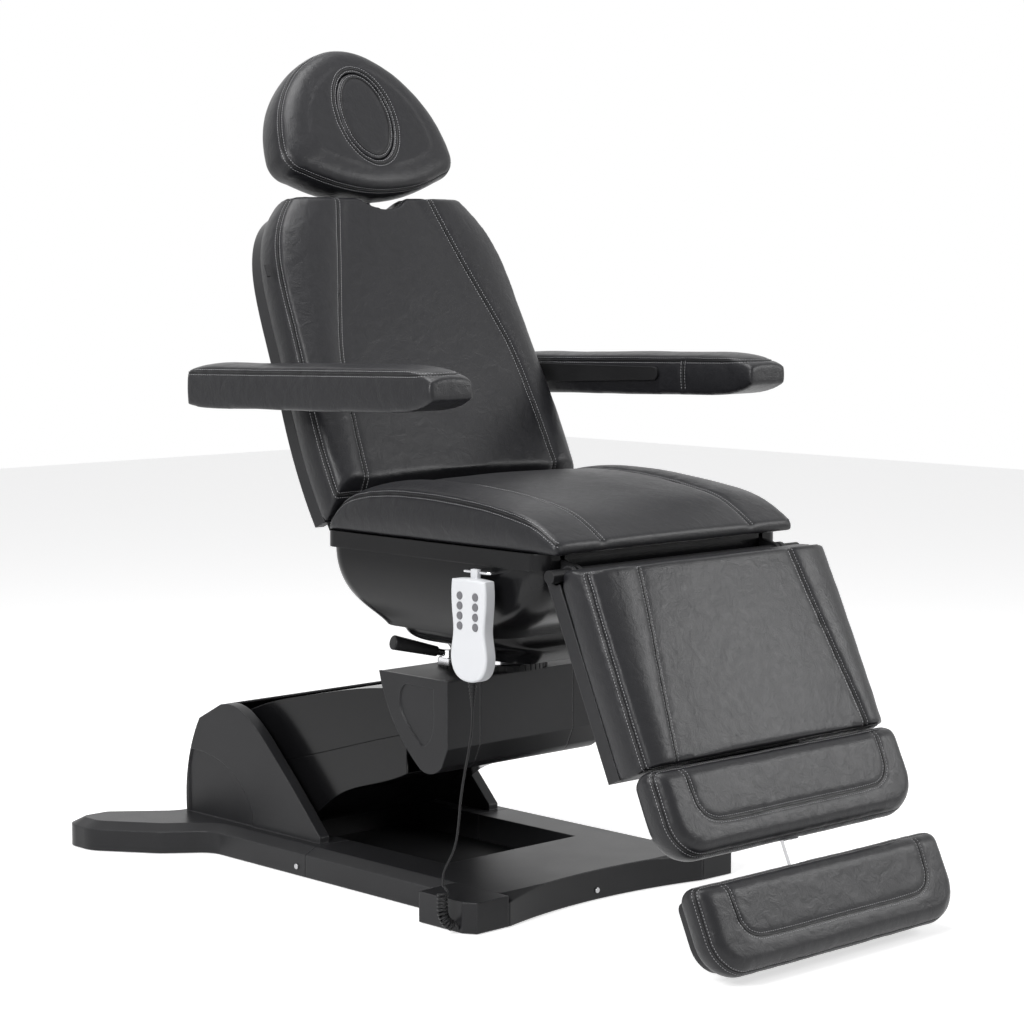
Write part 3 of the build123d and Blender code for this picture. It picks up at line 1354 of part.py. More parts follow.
# Leg rest: a channelled cushion and a steel shell with lugs, a fork and the foot bracket
leg_plane = lean_plane(leg_root, leg_lean)
leg_shares = [(0.06, 0.985, 0.61), (-0.25, 0.995, 0.66), (-0.55, 1.0, 0.715), (-0.85, 1.0, 0.77), (-1.04, 1.0, 0.80)]
leg_low_shares = [(-1.0, -1.0), (-1.0, -0.5), (-0.99, 0.06), (-0.965, 0.5)]
leg_high_shares = [(-0.06, 0.5), (-0.028, 0.1), (-0.018, -0.2), (0.003, -0.42), (0.024, -0.63), (0.024, -1.0)]
leg_levels = []
for run, half, seam in leg_shares:
    leg_levels.append(channelled(station(leg_plane, run * leg_length), half * leg_half - leg_swell,
                                 seam * (leg_half - leg_swell), -leg_pad_depth, 0, leg_swell, leg_crown,
                                 channel_depth, middle_crown))
leg_shell_front = -leg_pad_depth - soft_gap
leg_shell_back = leg_shell_front - leg_shell_depth
leg_lug_root = across(leg_plane, -leg_beam_high - leg_beam_width / 2,
                      leg_shell_back + shell_wall + lug_thickness - play)
with BuildPart() as leg_cushion:
    loft(sections=leg_levels)
    with BuildSketch(side_plane(leg_plane, 2 * leg_half)):
        add(end_profile(leg_low_shares, leg_high_shares, leg_length, leg_pad_depth))
    extrude(amount=4 * leg_half, mode=Mode.INTERSECT)
    with BuildSketch(Plane.YZ.offset(-2 * leg_half)):
        with Locations(knee_hinge):
            Circle(lug_radius + groove_gap)
    extrude(amount=4 * leg_half, mode=Mode.SUBTRACT)
    add(lug_notches(knee_hinge, leg_lug_root, lug_thickness), mode=Mode.SUBTRACT)
finish(leg_cushion, "leg_cushion")

leg_shell_low = shell_wall - leg_length
leg_shell_high = leg_high_shares[-1][0] * leg_length
foot_top = -leg_length - foot_gap + foot_gap / 3
bracket_front = foot_forward - foot_depth - soft_gap
leg_fork_root = across(leg_plane, -leg_beam_high - leg_beam_width / 2, leg_shell_front - shell_wall)
with BuildPart() as leg_shell:
    with BuildSketch(leg_plane.offset(leg_shell_back)):
        with Locations((0, leg_shell_high)):
            Rectangle(2 * leg_shell_half, leg_shell_high - leg_shell_low, align=(Align.CENTER, Align.MAX))
    extrude(amount=leg_shell_depth)
    with BuildSketch(leg_plane.offset(leg_shell_back + shell_wall)):
        with Locations((0, leg_shell_high - shell_wall)):
            Rectangle(2 * (leg_shell_half - shell_wall), leg_shell_high - leg_shell_low - 2 * shell_wall,
                      align=(Align.CENTER, Align.MAX))
    extrude(amount=leg_shell_depth, mode=Mode.SUBTRACT)
    with BuildSketch(leg_plane.offset(leg_shell_front)):
        with Locations((0, -leg_beam_high)):
            Rectangle(2 * leg_shell_half, leg_beam_width, align=(Align.CENTER, Align.MAX))
    extrude(amount=-shell_wall - play)
    with BuildSketch(leg_plane.offset(leg_shell_back)):
        with Locations((0, foot_top - 2 * shell_wall)):
            Rectangle(2 * foot_bracket_half, leg_shell_low + shell_wall - foot_top + 2 * shell_wall,
                      align=(Align.CENTER, Align.MIN))
    extrude(amount=leg_shell_depth - shell_wall)
    with BuildSketch(leg_plane.offset(leg_shell_back)):
        with Locations((0, foot_top)):
            Rectangle(2 * foot_bracket_half, foot_bracket_thickness * 2, align=(Align.CENTER, Align.MAX))
    extrude(amount=bracket_front - leg_shell_back)
    with BuildSketch(leg_plane.offset(bracket_front)):
        with Locations((0, foot_top)):
            Rectangle(2 * foot_bracket_half, foot_height * 2 / 3, align=(Align.CENTER, Align.MAX))
    extrude(amount=-foot_bracket_thickness)
    with BuildSketch(Plane.YZ.offset(-2 * leg_half)):
        with Locations(knee_hinge):
            Circle(knee_tube_radius + 2 * groove_gap)
    extrude(amount=4 * leg_half, mode=Mode.SUBTRACT)
    for side in (-1, 1):
        with BuildSketch(Plane.YZ.offset(side * (seat_lug_inner - lug_gap - groove_gap))):
            with Locations(knee_hinge):
                Circle(lug_depth)
        extrude(amount=side * (lug_thickness + 2 * (lug_gap + groove_gap)), mode=Mode.SUBTRACT)
    with BuildSketch(leg_plane.offset(leg_shell_back - overrun)):
        with Locations((leg_motor_x, leg_shell_high + overrun)):
            Rectangle(window_width, leg_beam_high + leg_beam_width + overrun, align=(Align.CENTER, Align.MAX))
    extrude(amount=overrun + leg_shell_depth - shell_wall - 2 * play, mode=Mode.SUBTRACT)
    with BuildSketch(leg_plane.offset(leg_shell_front)):
        with Locations((leg_motor_x, -leg_beam_high)):
            Rectangle(eye_width + 2 * play, leg_beam_width, align=(Align.CENTER, Align.MAX))
    extrude(amount=-2 * shell_wall, mode=Mode.SUBTRACT)
    for side in (-1, 1):
        with BuildSketch(Plane.YZ.offset(side * back_lug_inner)):
            add(link_profile(knee_hinge, leg_lug_root, lug_radius, lug_thickness))
        extrude(amount=side * lug_thickness)
    add(fork(leg_end, leg_fork_root, eye_width, shell_wall, leg_motor_x, eye_pin_radius))
    with BuildSketch(Plane.YZ.offset(-2 * leg_half)):
        with Locations(knee_hinge):
            Circle(knee_tube_radius + running)
    extrude(amount=4 * leg_half, mode=Mode.SUBTRACT)
finish(leg_shell, "leg_shell")

actuator_motor(leg_start, leg_end, leg_motor_x, -1, leg_tube_length, "leg_motor")
actuator_rod(leg_start, leg_end, leg_motor_x, leg_tube_length / 2, eye_pin_radius, leg_eye_play, "leg_rod")

# Foot pads: a fixed pad below the leg rest and one that slides on a bar
foot_level_shares = [(-1.0, 0.10), (-0.78, 0.0), (-0.2, 0.0), (-0.02, 0.12), (0.08, 0.36)]


def foot_outline(frame, inset):
    """A foot pad's front view, with large lower corners, drawn in by an inset."""
    half = foot_half - inset
    with BuildSketch(frame) as outline:
        with BuildLine():
            FilletPolyline((-half, -inset), (half, -inset), (half, inset - foot_height), (-half, inset - foot_height),
                           radius=[foot_top_corner, foot_top_corner, foot_corner - inset, foot_corner - inset],
                           close=True)
        make_face()
    return outline.sketch


def foot_pad(frame, depth):
    """A crowned foot pad with a sewn channel that runs round three sides."""
    levels = [foot_outline(frame.offset(level * depth), inset * foot_corner) for level, inset in foot_level_shares]
    with BuildPart() as pad:
        loft(sections=levels)
        with BuildSketch(frame.offset(-channel_depth / 2)):
            with Locations((0, 0)):
                RectangleRounded(2 * foot_channel_half, 2 * foot_channel_drop, foot_corner / 2)
                RectangleRounded(2 * (foot_channel_half - foot_channel_width),
                                 2 * (foot_channel_drop - foot_channel_width), foot_corner / 2 - foot_channel_width,
                                 mode=Mode.SUBTRACT)
            with Locations((0, -foot_top_corner)):
                Rectangle(4 * foot_half, 2 * foot_height, align=(Align.CENTER, Align.MAX), mode=Mode.INTERSECT)
        extrude(amount=depth, mode=Mode.SUBTRACT)
    return pad.part


upper_foot_frame = Plane(origin=leg_plane.from_local_coords((0, foot_top, foot_forward)), x_dir=(1, 0, 0),
                         z_dir=leg_plane.z_dir)
lower_foot_top = foot_top - foot_height - foot_spread
lower_foot_off = foot_forward + foot_step
lower_foot_frame = Plane(origin=leg_plane.from_local_coords((0, lower_foot_top, lower_foot_off)), x_dir=(1, 0, 0),
                         z_dir=leg_plane.z_dir)
bar_top = foot_top - foot_height + bar_grip
bar_low = lower_foot_top - foot_height + bar_end
upper_pad = foot_pad(upper_foot_frame, foot_depth)
lower_pad = foot_pad(lower_foot_frame, lower_foot_off + bar_back - bar_thickness - soft_gap)
with BuildPart() as upper_foot_cushion:
    add(upper_pad)
    with BuildSketch(leg_plane.offset(-bar_back - play)):
        with Locations((0, foot_top - foot_height - overrun)):
            Rectangle(bar_width + 2 * play, bar_grip + foot_travel + 2 * overrun, align=(Align.CENTER, Align.MIN))
    extrude(amount=bar_thickness + 2 * play, mode=Mode.SUBTRACT)
finish(upper_foot_cushion, "upper_foot_cushion")

with BuildPart() as lower_foot_cushion:
    add(lower_pad)
finish(lower_foot_cushion, "lower_foot_cushion")

with BuildPart() as slide_bar:
    with BuildSketch(leg_plane.offset(-bar_back)):
        with Locations((0, bar_top)):
            Rectangle(bar_width, bar_top - bar_low, align=(Align.CENTER, Align.MAX))
    extrude(amount=bar_thickness)
finish(slide_bar, "slide_bar")

foot_shell_front = bar_thickness - bar_back
with BuildPart() as lower_foot_shell:
    shell_frame = Plane(origin=leg_plane.from_local_coords((0, lower_foot_top, foot_shell_front)), x_dir=(1, 0, 0),
                        z_dir=leg_plane.z_dir)
    extrude(foot_outline(shell_frame, foot_shell_inset), amount=-foot_shell_thickness)
    with BuildSketch(leg_plane.offset(-bar_back - running)):
        with Locations((0, lower_foot_top)):
            Rectangle(bar_width + 2 * running, foot_height - bar_end + running, align=(Align.CENTER, Align.MAX))
    extrude(amount=2 * bar_thickness, mode=Mode.SUBTRACT)
finish(lower_foot_shell, "lower_foot_shell")

# Hand control: a waisted case with a tongue over the hook, and eight buttons
remote_shares = [(0.9, 0.0), (0.88, 0.36), (0.84, 0.51), (0.97, 0.78), (0.70, 0.94), (0.0, 1.0)]
remote_back = remote_x + remote_thickness
hook_x = remote_back - hook_radius
hook_z = remote_top[1] + hook_top
remote_side = [(remote_top[0] + a * remote_half, remote_top[1] - b * remote_length) for a, b in remote_shares]
remote_mirror = [(2 * remote_top[0] - y, z) for y, z in remote_side]
with BuildPart() as remote_case:
    with BuildSketch(Plane.YZ.offset(remote_x)):
        with BuildLine():
            Spline(*remote_side, *reversed(remote_mirror[:-1]))
            ThreePointArc(remote_mirror[0], (remote_top[0], remote_top[1] + remote_round / 2), remote_side[0])
        make_face()
    extrude(amount=remote_thickness)
    fillet(remote_case.faces().sort_by(Axis.X)[0].edges(), remote_round)
    with BuildSketch(Plane.YZ.offset(hook_x - 2 * hook_radius)):
        with Locations((remote_top[0], remote_top[1] - remote_round)):
            Rectangle(2 * tongue_half, hook_top + remote_round + 2 * hook_radius, align=(Align.CENTER, Align.MIN))
    extrude(amount=3 * hook_radius)
    with Locations((hook_x, remote_top[0], hook_z)):
        Cylinder(hook_radius + running, 4 * tongue_half, rotation=(90, 0, 0), mode=Mode.SUBTRACT)
    for row in range(4):
        for side in (-1, 1):
            with Locations((remote_x, remote_top[0] + side * button_column,
                            remote_top[1] - button_first - row * button_pitch)):
                Cylinder(button_radius + button_gap, 2 * (button_depth + button_travel), rotation=(0, 90, 0),
                         mode=Mode.SUBTRACT)
    with Locations((remote_x + remote_thickness / 2, remote_top[0], remote_top[1] - remote_length)):
        Cylinder(relief_top_radius + running, 2 * relief_socket, mode=Mode.SUBTRACT)
finish(remote_case, "remote_case")

# Strain relief: a tapered ribbed boot, plugged into the bottom of the case
relief_x = remote_x + remote_thickness / 2
relief_top = remote_top[1] - remote_length
relief_pitch = relief_length / (2 * relief_rings + 1)
with BuildPart() as strain_relief:
    with Locations((relief_x, remote_top[0], relief_top)):
        Cylinder(relief_top_radius, relief_socket, align=(Align.CENTER, Align.CENTER, Align.MIN))
    for ring in range(2 * relief_rings + 1):
        taper = relief_top_radius + (relief_end_radius - relief_top_radius) * ring / (2 * relief_rings)
        with Locations((relief_x, remote_top[0], relief_top - ring * relief_pitch)):
            Cylinder(taper * (0.75 if ring % 2 else 1.0), relief_pitch,
                     align=(Align.CENTER, Align.CENTER, Align.MAX))
finish(strain_relief, "strain_relief")

for row in range(4):
    for column, side in enumerate((1, -1)):
        with BuildPart() as button:
            with BuildSketch(Plane.YZ.offset(remote_x + button_depth)):
                with Locations((remote_top[0] + side * button_column,
                                remote_top[1] - button_first - row * button_pitch)):
                    Circle(button_radius)
            extrude(amount=-button_depth - button_proud)
            fillet(button.faces().sort_by(Axis.X)[0].edges(), button_proud / 2)
        finish(button, f"remote_button_{2 * row + column + 1}")

# Hook: a bent wire loop that comes out of the seat shell's side
with BuildPart() as remote_hook:
    with BuildLine() as hook_path:
        FilletPolyline((plastic - seat_half, remote_top[0] + hook_half, hook_z),
                       (hook_x, remote_top[0] + hook_half, hook_z),
                       (hook_x, remote_top[0] - hook_half, hook_z),
                       (plastic - seat_half, remote_top[0] - hook_half, hook_z), radius=2 * hook_radius)
    with BuildSketch(Plane(origin=hook_path.line @ 0, z_dir=hook_path.line % 0)):
        Circle(hook_radius)
    sweep()
finish(remote_hook, "remote_hook")

# Curly cord: a helix about a line that hangs down and bends into the block's side
curl_straight = curl_top - curl_floor - curl_bend
curl_arc = curl_bend * math.pi / 2
bend_x = curl_axis[0] + curl_bend
curl_end_x = -block_half


def curl_frame(distance):
    """A point of the curl's centre line, with its forward and outward directions."""
    if distance < curl_straight:
        return Vector(*curl_axis, curl_top - distance), Vector(0, 0, -1), Vector(1, 0, 0)
    angle = min((distance - curl_straight) / curl_bend, math.pi / 2)
    beyond = max(distance - curl_straight - curl_arc, 0)
    center = Vector(bend_x - curl_bend * math.cos(angle) + beyond, curl_axis[1],
                    curl_floor + curl_bend - curl_bend * math.sin(angle))
    return center, Vector(math.sin(angle), 0, -math.cos(angle)), Vector(math.cos(angle), 0, math.sin(angle))


def curl_point(distance, turn):
    """A point of the wire and its direction, at a turn in radians about the centre line."""
    center, forward, outward = curl_frame(distance)
    side = forward.cross(outward)
    point = center + (outward * math.cos(turn) + side * math.sin(turn)) * curl_radius
    rate = curl_pitch / (2 * math.pi)
    around = (side * math.cos(turn) - outward * math.sin(turn)) * curl_radius
    shrink = 1.0
    if curl_straight < distance < curl_straight + curl_arc:
        shrink = 1 - curl_radius * math.cos(turn) / curl_bend
    return point, (forward * rate * shrink + around).normalized()


def biarc(start, start_way, end, end_way):
    """The middle point of two arcs that join two points with their directions."""
    gap = end - start
    ways = start_way + end_way
    a = 2 * (1 - start_way.dot(end_way))
    b = gap.dot(ways)
    reach = (-b + math.sqrt(b * b + a * gap.dot(gap))) / a if a > 1e-9 else gap.dot(gap) / (4 * gap.dot(end_way))
    return (start + start_way * reach + end - end_way * reach) / 2


first_turn = math.radians(curl_start_angle)
turn_length = curl_straight + curl_arc - curl_lead
quarter_turns = 4 * round((turn_length - curl_lead) / curl_pitch)
curl_knots = []
for quarter in range(quarter_turns + 1):
    turn = first_turn + math.pi / 2 * (quarter + 1)
    curl_knots.append(curl_point(curl_lead + (turn_length - curl_lead) * quarter / quarter_turns, turn))
lead_in = curl_point(0, first_turn)[0]
_, end_forward, end_outward = curl_frame(curl_straight + curl_arc)
last_turn = first_turn + math.pi / 2 * (quarter_turns + 2)
end_center = Vector(curl_end_x, curl_axis[1], curl_floor)
lead_out = end_center + (end_outward * math.cos(last_turn)
                         + end_forward.cross(end_outward) * math.sin(last_turn)) * curl_radius
curl_knots = [(lead_in, Vector(0, 0, -1))] + curl_knots + [(lead_out - end_forward * 2 * cord_radius, end_forward)]
curl_start = lead_in + Vector(0, 0, 2 * cord_radius)
with BuildPart() as curly_cord:
    with BuildLine() as curl_path:
        Line(curl_start, lead_in)
        for (start, start_way), (end, end_way) in zip(curl_knots, curl_knots[1:]):
            middle = biarc(start, start_way, end, end_way)
            arc = TangentArc(start, middle, tangent=start_way)
            TangentArc(middle, end, tangent=arc % 1)
        Line(curl_knots[-1][0], lead_out)
    with BuildSketch(Plane(origin=curl_start, z_dir=(0, 0, -1))):
        Circle(cord_radius)
    sweep(path=curl_path.wire())
finish(curly_cord, "curly_cord")
wire = curl_path.wire()
samples = 12 * quarter_turns
wire_points = [wire @ (i / samples) for i in range(samples + 1)]
skip = math.ceil(1.5 * math.pi * cord_radius / wire.length * samples)
self_gap = min((wire_points[i] - wire_points[j]).length for i in range(samples)
               for j in range(i + skip, samples)) - 2 * cord_radius
print(f"curly cord: wire length {wire.length:.1f}, least gap to itself {self_gap:.2f}, "
      f"volume {curly_cord.part.volume:.0f} of {math.pi * cord_radius ** 2 * wire.length:.0f}")

# Hand control cord: straight down out of the boot, then a slack run to the curls
cord_route = [(-317.0, -515.0, 381.0), (-317.0, -515.0, 350.0), (-321.0, -511.5, 312.0), (-328.0, -506.5, 268.0),
              (-333.5, -502.5, 222.0), (-335.5, -500.5, 178.0), (-340.0, -496.0, 142.0), tuple(curl_start + Vector(0, 0, 20)),
              tuple(curl_start)]
cord_turns = []
for before, corner, after in zip(cord_route, cord_route[1:], cord_route[2:]):
    turn = (Vector(*corner) - Vector(*before)).get_angle(Vector(*after) - Vector(*corner))
    shorter = min(math.dist(before, corner), math.dist(corner, after))
    cord_turns.append(0.45 * shorter / math.tan(math.radians(turn) / 2))
with BuildPart() as remote_cord:
    with BuildLine() as cord_path:
        FilletPolyline(*cord_route, radius=cord_turns)
    with BuildSketch(Plane(origin=cord_route[0], z_dir=(0, 0, -1))):
        Circle(cord_radius)
    sweep(path=cord_path.wire())
finish(remote_cord, "remote_cord")
cord_length = cord_path.wire().length
print("cord radii", [round(radius) for radius in cord_turns], f"length {cord_length:.1f}, "
      f"volume {remote_cord.part.volume:.0f} of {math.pi * cord_radius ** 2 * cord_length:.0f}")
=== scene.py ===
import math

import bmesh
import bpy
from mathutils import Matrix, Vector, kdtree, noise
from mathutils.bvhtree import BVHTree


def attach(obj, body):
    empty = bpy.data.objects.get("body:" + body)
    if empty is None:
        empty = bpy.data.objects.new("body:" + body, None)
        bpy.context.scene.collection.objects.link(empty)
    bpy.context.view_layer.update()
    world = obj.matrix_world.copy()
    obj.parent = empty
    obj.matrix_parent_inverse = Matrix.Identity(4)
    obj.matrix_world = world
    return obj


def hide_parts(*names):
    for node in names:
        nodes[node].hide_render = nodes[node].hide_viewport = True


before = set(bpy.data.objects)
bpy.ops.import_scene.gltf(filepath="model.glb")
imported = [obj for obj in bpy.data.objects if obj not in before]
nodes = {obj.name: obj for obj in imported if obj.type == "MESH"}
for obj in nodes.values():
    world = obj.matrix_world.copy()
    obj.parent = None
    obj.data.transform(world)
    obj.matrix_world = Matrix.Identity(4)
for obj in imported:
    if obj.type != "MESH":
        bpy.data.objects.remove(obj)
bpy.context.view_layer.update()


# Camera: a long lens at about the seat's height, from the foot end on the sitter's right.
camera = bpy.data.objects.new("camera", bpy.data.cameras.new("camera"))
camera.location = (-3.2271, -3.6647, 1.1226)
camera.rotation_euler = (math.radians(90 - 5.646), 0, math.radians(-43.594))
camera.data.sensor_width = 36
camera.data.lens = 93.75
bpy.context.collection.objects.link(camera)
bpy.context.scene.camera = camera


# Hand control cord: one black PVC lead, straight down out of its boot, then wound into tight curls
# that hang beside the base, lean over at the floor and go into the front block of the base.
def add_socket(tree, name, kind, value=None, way="INPUT"):
    """A named input or output of a node group."""
    socket = tree.interface.new_socket(name, in_out=way, socket_type="NodeSocket" + kind)
    if value is not None:
        socket.default_value = value
    return socket


def wire_up(tree, node_type, **inputs):
    """A node with its sockets set from values or linked from other nodes' outputs."""
    node = tree.nodes.new(node_type)
    for name, value in inputs.items():
        numbered = name[0] == "i" and name[1:].isdigit()
        socket = node.inputs[int(name[1:]) if numbered else name.replace("_", " ")]
        if isinstance(value, bpy.types.NodeSocket):
            tree.links.new(value, socket)
        else:
            socket.default_value = value
    return node


def maths(tree, operation, first, second=0.0, third=0.0, clamp=False):
    """One Math node's output."""
    node = wire_up(tree, "ShaderNodeMath", i0=first, i1=second, i2=third)
    node.operation = operation
    node.use_clamp = clamp
    return node.outputs[0]


def mixed_colour(tree, share, first, second):
    """The output of a colour mix; either colour may be a value or another node's output."""
    mix = tree.nodes.new("ShaderNodeMix")
    mix.data_type = "RGBA"
    tree.links.new(share, mix.inputs["Factor"])
    for name, colour in (("A", first), ("B", second)):
        if isinstance(colour, bpy.types.NodeSocket):
            tree.links.new(colour, mix.inputs[name])
        else:
            mix.inputs[name].default_value = (*colour, 1)
    return mix.outputs["Result"]


specks_to_grain, speck_size = 0.2, 0.06
edge_breaks_per_metre, edge_band_gain = 60.0, 5.0
speck_paleness, patch_paleness = 0.12, 0.18


def make_moulded_grain():
    """The fine bumps of a moulded, painted or rubber skin, and the uneven shine of handling."""
    tree = bpy.data.node_groups.new("moulded grain", "ShaderNodeTree")
    add_socket(tree, "Grains per metre", "Float", 1500.0)
    add_socket(tree, "Grain depth", "Float", 0.00003)
    add_socket(tree, "Patches per metre", "Float", 9.0)
    for name in ("Height", "Patch", "Speck"):
        add_socket(tree, name, "Float", way="OUTPUT")
    given = tree.nodes.new("NodeGroupInput").outputs
    place = tree.nodes.new("ShaderNodeTexCoord").outputs["Object"]
    per_metre = given["Grains per metre"]
    grains = wire_up(tree, "ShaderNodeTexNoise", Vector=place, Scale=per_metre, Detail=2.0, Roughness=0.6)
    patches = wire_up(tree, "ShaderNodeTexNoise", Vector=place, Scale=given["Patches per metre"], Detail=4.0,
                      Roughness=0.55)
    specks = wire_up(tree, "ShaderNodeTexVoronoi", Vector=place,
                     Scale=maths(tree, "MULTIPLY", per_metre, specks_to_grain))
    out = tree.nodes.new("NodeGroupOutput")
    tree.links.new(maths(tree, "MULTIPLY", grains.outputs[0], given["Grain depth"]), out.inputs["Height"])
    tree.links.new(patches.outputs[0], out.inputs["Patch"])
    tree.links.new(maths(tree, "LESS_THAN", specks.outputs[0], speck_size), out.inputs["Speck"])
    return tree


def make_rounded_edge():
    """The small radius of a real edge: its normal, and a broken mask where the edge goes pale, partly as
    rubbed wear and partly as a painted highlight.
    """
    tree = bpy.data.node_groups.new("rounded edge", "ShaderNodeTree")
    add_socket(tree, "Edge radius", "Float", 0.0015)
    add_socket(tree, "Wear and highlight", "Float", 0.5)
    add_socket(tree, "Normal", "Vector", way="OUTPUT")
    add_socket(tree, "Worn and highlit", "Float", way="OUTPUT")
    given = tree.nodes.new("NodeGroupInput").outputs
    bevel = wire_up(tree, "ShaderNodeBevel", Radius=given["Edge radius"])
    bevel.samples = 4
    flat = tree.nodes.new("ShaderNodeNewGeometry").outputs["Normal"]
    facing = tree.nodes.new("ShaderNodeVectorMath")
    facing.operation = "DOT_PRODUCT"
    tree.links.new(bevel.outputs[0], facing.inputs[0])
    tree.links.new(flat, facing.inputs[1])
    place = tree.nodes.new("ShaderNodeTexCoord").outputs["Object"]
    broken = wire_up(tree, "ShaderNodeTexNoise", Vector=place, Scale=edge_breaks_per_metre, Detail=3.0)
    # The edge band paints the edge paler: partly rubbed wear, partly a painted highlight where the rounding
    # catches the light.
    edge_band = maths(tree, "MULTIPLY", maths(tree, "SUBTRACT", 1.0, facing.outputs["Value"]), edge_band_gain, clamp=True)
    worn = maths(tree, "MULTIPLY", maths(tree, "MULTIPLY", edge_band, broken.outputs[0]), given["Wear and highlight"])
    out = tree.nodes.new("NodeGroupOutput")
    tree.links.new(bevel.outputs[0], out.inputs["Normal"])
    tree.links.new(worn, out.inputs["Worn and highlit"])
    return tree


moulded_grain = make_moulded_grain()
rounded_edge = make_rounded_edge()


def skin_material(name, colour, pale, roughness, patch_change=0.1, grains=1500.0, depth=0.00003,
                  radius=0.0015, edge_wear_and_highlight=0.5, metallic=0.0):
    """A hard skin: its colour goes paler at the edges, partly rubbed wear and partly a painted highlight on
    the rounding, and its shine varies in soft patches.
    """
    material = bpy.data.materials.new(name)
    material.use_nodes = True
    tree = material.node_tree
    shader = tree.nodes["Principled BSDF"]
    shader.inputs["Metallic"].default_value = metallic
    shader.inputs["Specular IOR Level"].default_value = 0.5 if metallic else 0.2
    grain = tree.nodes.new("ShaderNodeGroup")
    grain.node_tree = moulded_grain
    grain.inputs["Grains per metre"].default_value = grains
    grain.inputs["Grain depth"].default_value = depth
    edge = tree.nodes.new("ShaderNodeGroup")
    edge.node_tree = rounded_edge
    edge.inputs["Edge radius"].default_value = radius
    edge.inputs["Wear and highlight"].default_value = edge_wear_and_highlight
    specks = maths(tree, "MULTIPLY", grain.outputs["Speck"], speck_paleness)
    patches = maths(tree, "MULTIPLY", grain.outputs["Patch"], patch_paleness)
    # The edge mask adds rubbed wear and a painted highlight to the colour; specks and patches are the skin's
    # own tone.
    share = maths(tree, "ADD", edge.outputs["Worn and highlit"], specks, clamp=True)
    share = maths(tree, "ADD", share, patches, clamp=True)
    tree.links.new(mixed_colour(tree, share, colour, pale), shader.inputs["Base Color"])
    change = maths(tree, "MULTIPLY", maths(tree, "SUBTRACT", grain.outputs["Patch"], 0.5), 2 * patch_change)
    tree.links.new(maths(tree, "ADD", change, roughness, clamp=True), shader.inputs["Roughness"])
    bump = wire_up(tree, "ShaderNodeBump", Height=grain.outputs["Height"], Normal=edge.outputs["Normal"],
                   Distance=1.0)
    tree.links.new(bump.outputs[0], shader.inputs["Normal"])
    return material


def dress(material, *names):
    """Gives CAD nodes their finish; their shape stays."""
    for name in names:
        if not nodes[name].material_slots:
            nodes[name].data.materials.append(material)
        for place in nodes[name].material_slots:
            place.material = material


black_rubber = skin_material("black rubber", (0.008, 0.008, 0.0085), (0.04, 0.04, 0.042), 0.42,
                             grains=2600.0, radius=0.0006, edge_wear_and_highlight=0.3)
cord_route = [(-0.317, -0.515, 0.381), (-0.317, -0.515, 0.350), (-0.321, -0.5115, 0.312),
              (-0.328, -0.5065, 0.268), (-0.3335, -0.5025, 0.222), (-0.3355, -0.5005, 0.178),
              (-0.340, -0.496, 0.142), (-0.3501, -0.4789, 0.106), (-0.3501, -0.4789, 0.086)]
curl_axis = (-0.356, -0.484)
curl_top, curl_floor, curl_bend = 0.082, 0.0125, 0.032
curl_radius, curl_pitch, curl_lead = 0.0078, 0.0061, 0.009
curl_start = math.radians(-41)
curl_steps = 12
curl_step = 2 * math.pi / curl_steps
block_side = -0.326
curl_straight = curl_top - curl_floor - curl_bend
curl_arc = curl_bend * math.pi / 2


def curl_point(distance, turn, beyond=0.0):
    """A point of the wire, at a distance along the curls' axis and a turn about it."""
    angle = min(max(distance - curl_straight, 0) / curl_bend, math.pi / 2)
    forward = Vector((math.sin(angle), 0, -math.cos(angle)))
    outward = Vector((math.cos(angle), 0, math.sin(angle)))
    center = Vector((curl_axis[0] + curl_bend - curl_bend * math.cos(angle) + beyond, curl_axis[1],
                     curl_top - min(distance, curl_straight) - curl_bend * math.sin(angle)))
    return center + (outward * math.cos(turn) + forward.cross(outward) * math.sin(turn)) * curl_radius


cord_points = [Vector(point) for point in cord_route]
turn_length = curl_straight + curl_arc - curl_lead
steps = curl_steps * round((turn_length - curl_lead) / curl_pitch)
cord_points.append(curl_point(0, curl_start))
for step in (1, 2):
    cord_points.append(curl_point(curl_lead * step / 3, curl_start + curl_step * step))
for step in range(steps + 1):
    cord_points.append(curl_point(curl_lead + (turn_length - curl_lead) * step / steps,
                                  curl_start + math.pi / 2 + curl_step * step))
last_turn = curl_start + math.pi / 2 + curl_step * steps
for step in (1, 2):
    cord_points.append(curl_point(turn_length + curl_lead * step / 3, last_turn + curl_step * step))
for share in (0.5, 1.0):
    cord_points.append(curl_point(curl_straight + curl_arc, last_turn + math.pi / 2,
                                  (block_side - curl_axis[0] - curl_bend) * share))
cord_line = bpy.data.curves.new("hand_control_cord", "CURVE")
cord_line.dimensions = "3D"
spline = cord_line.splines.new("NURBS")
spline.points.add(len(cord_points) - 1)
for point, place in zip(spline.points, cord_points):
    point.co = (*place, 1)
spline.order_u = 3
spline.use_endpoint_u = True
spline.resolution_u = 3
cord_line.bevel_depth = 0.002
cord_line.bevel_resolution = 3
cord_line.materials.append(black_rubber)
hand_cord = bpy.data.objects.new("hand_control_cord", cord_line)
bpy.context.collection.objects.link(hand_cord)
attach(hand_cord, "base")
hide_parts("remote_cord", "curly_cord")


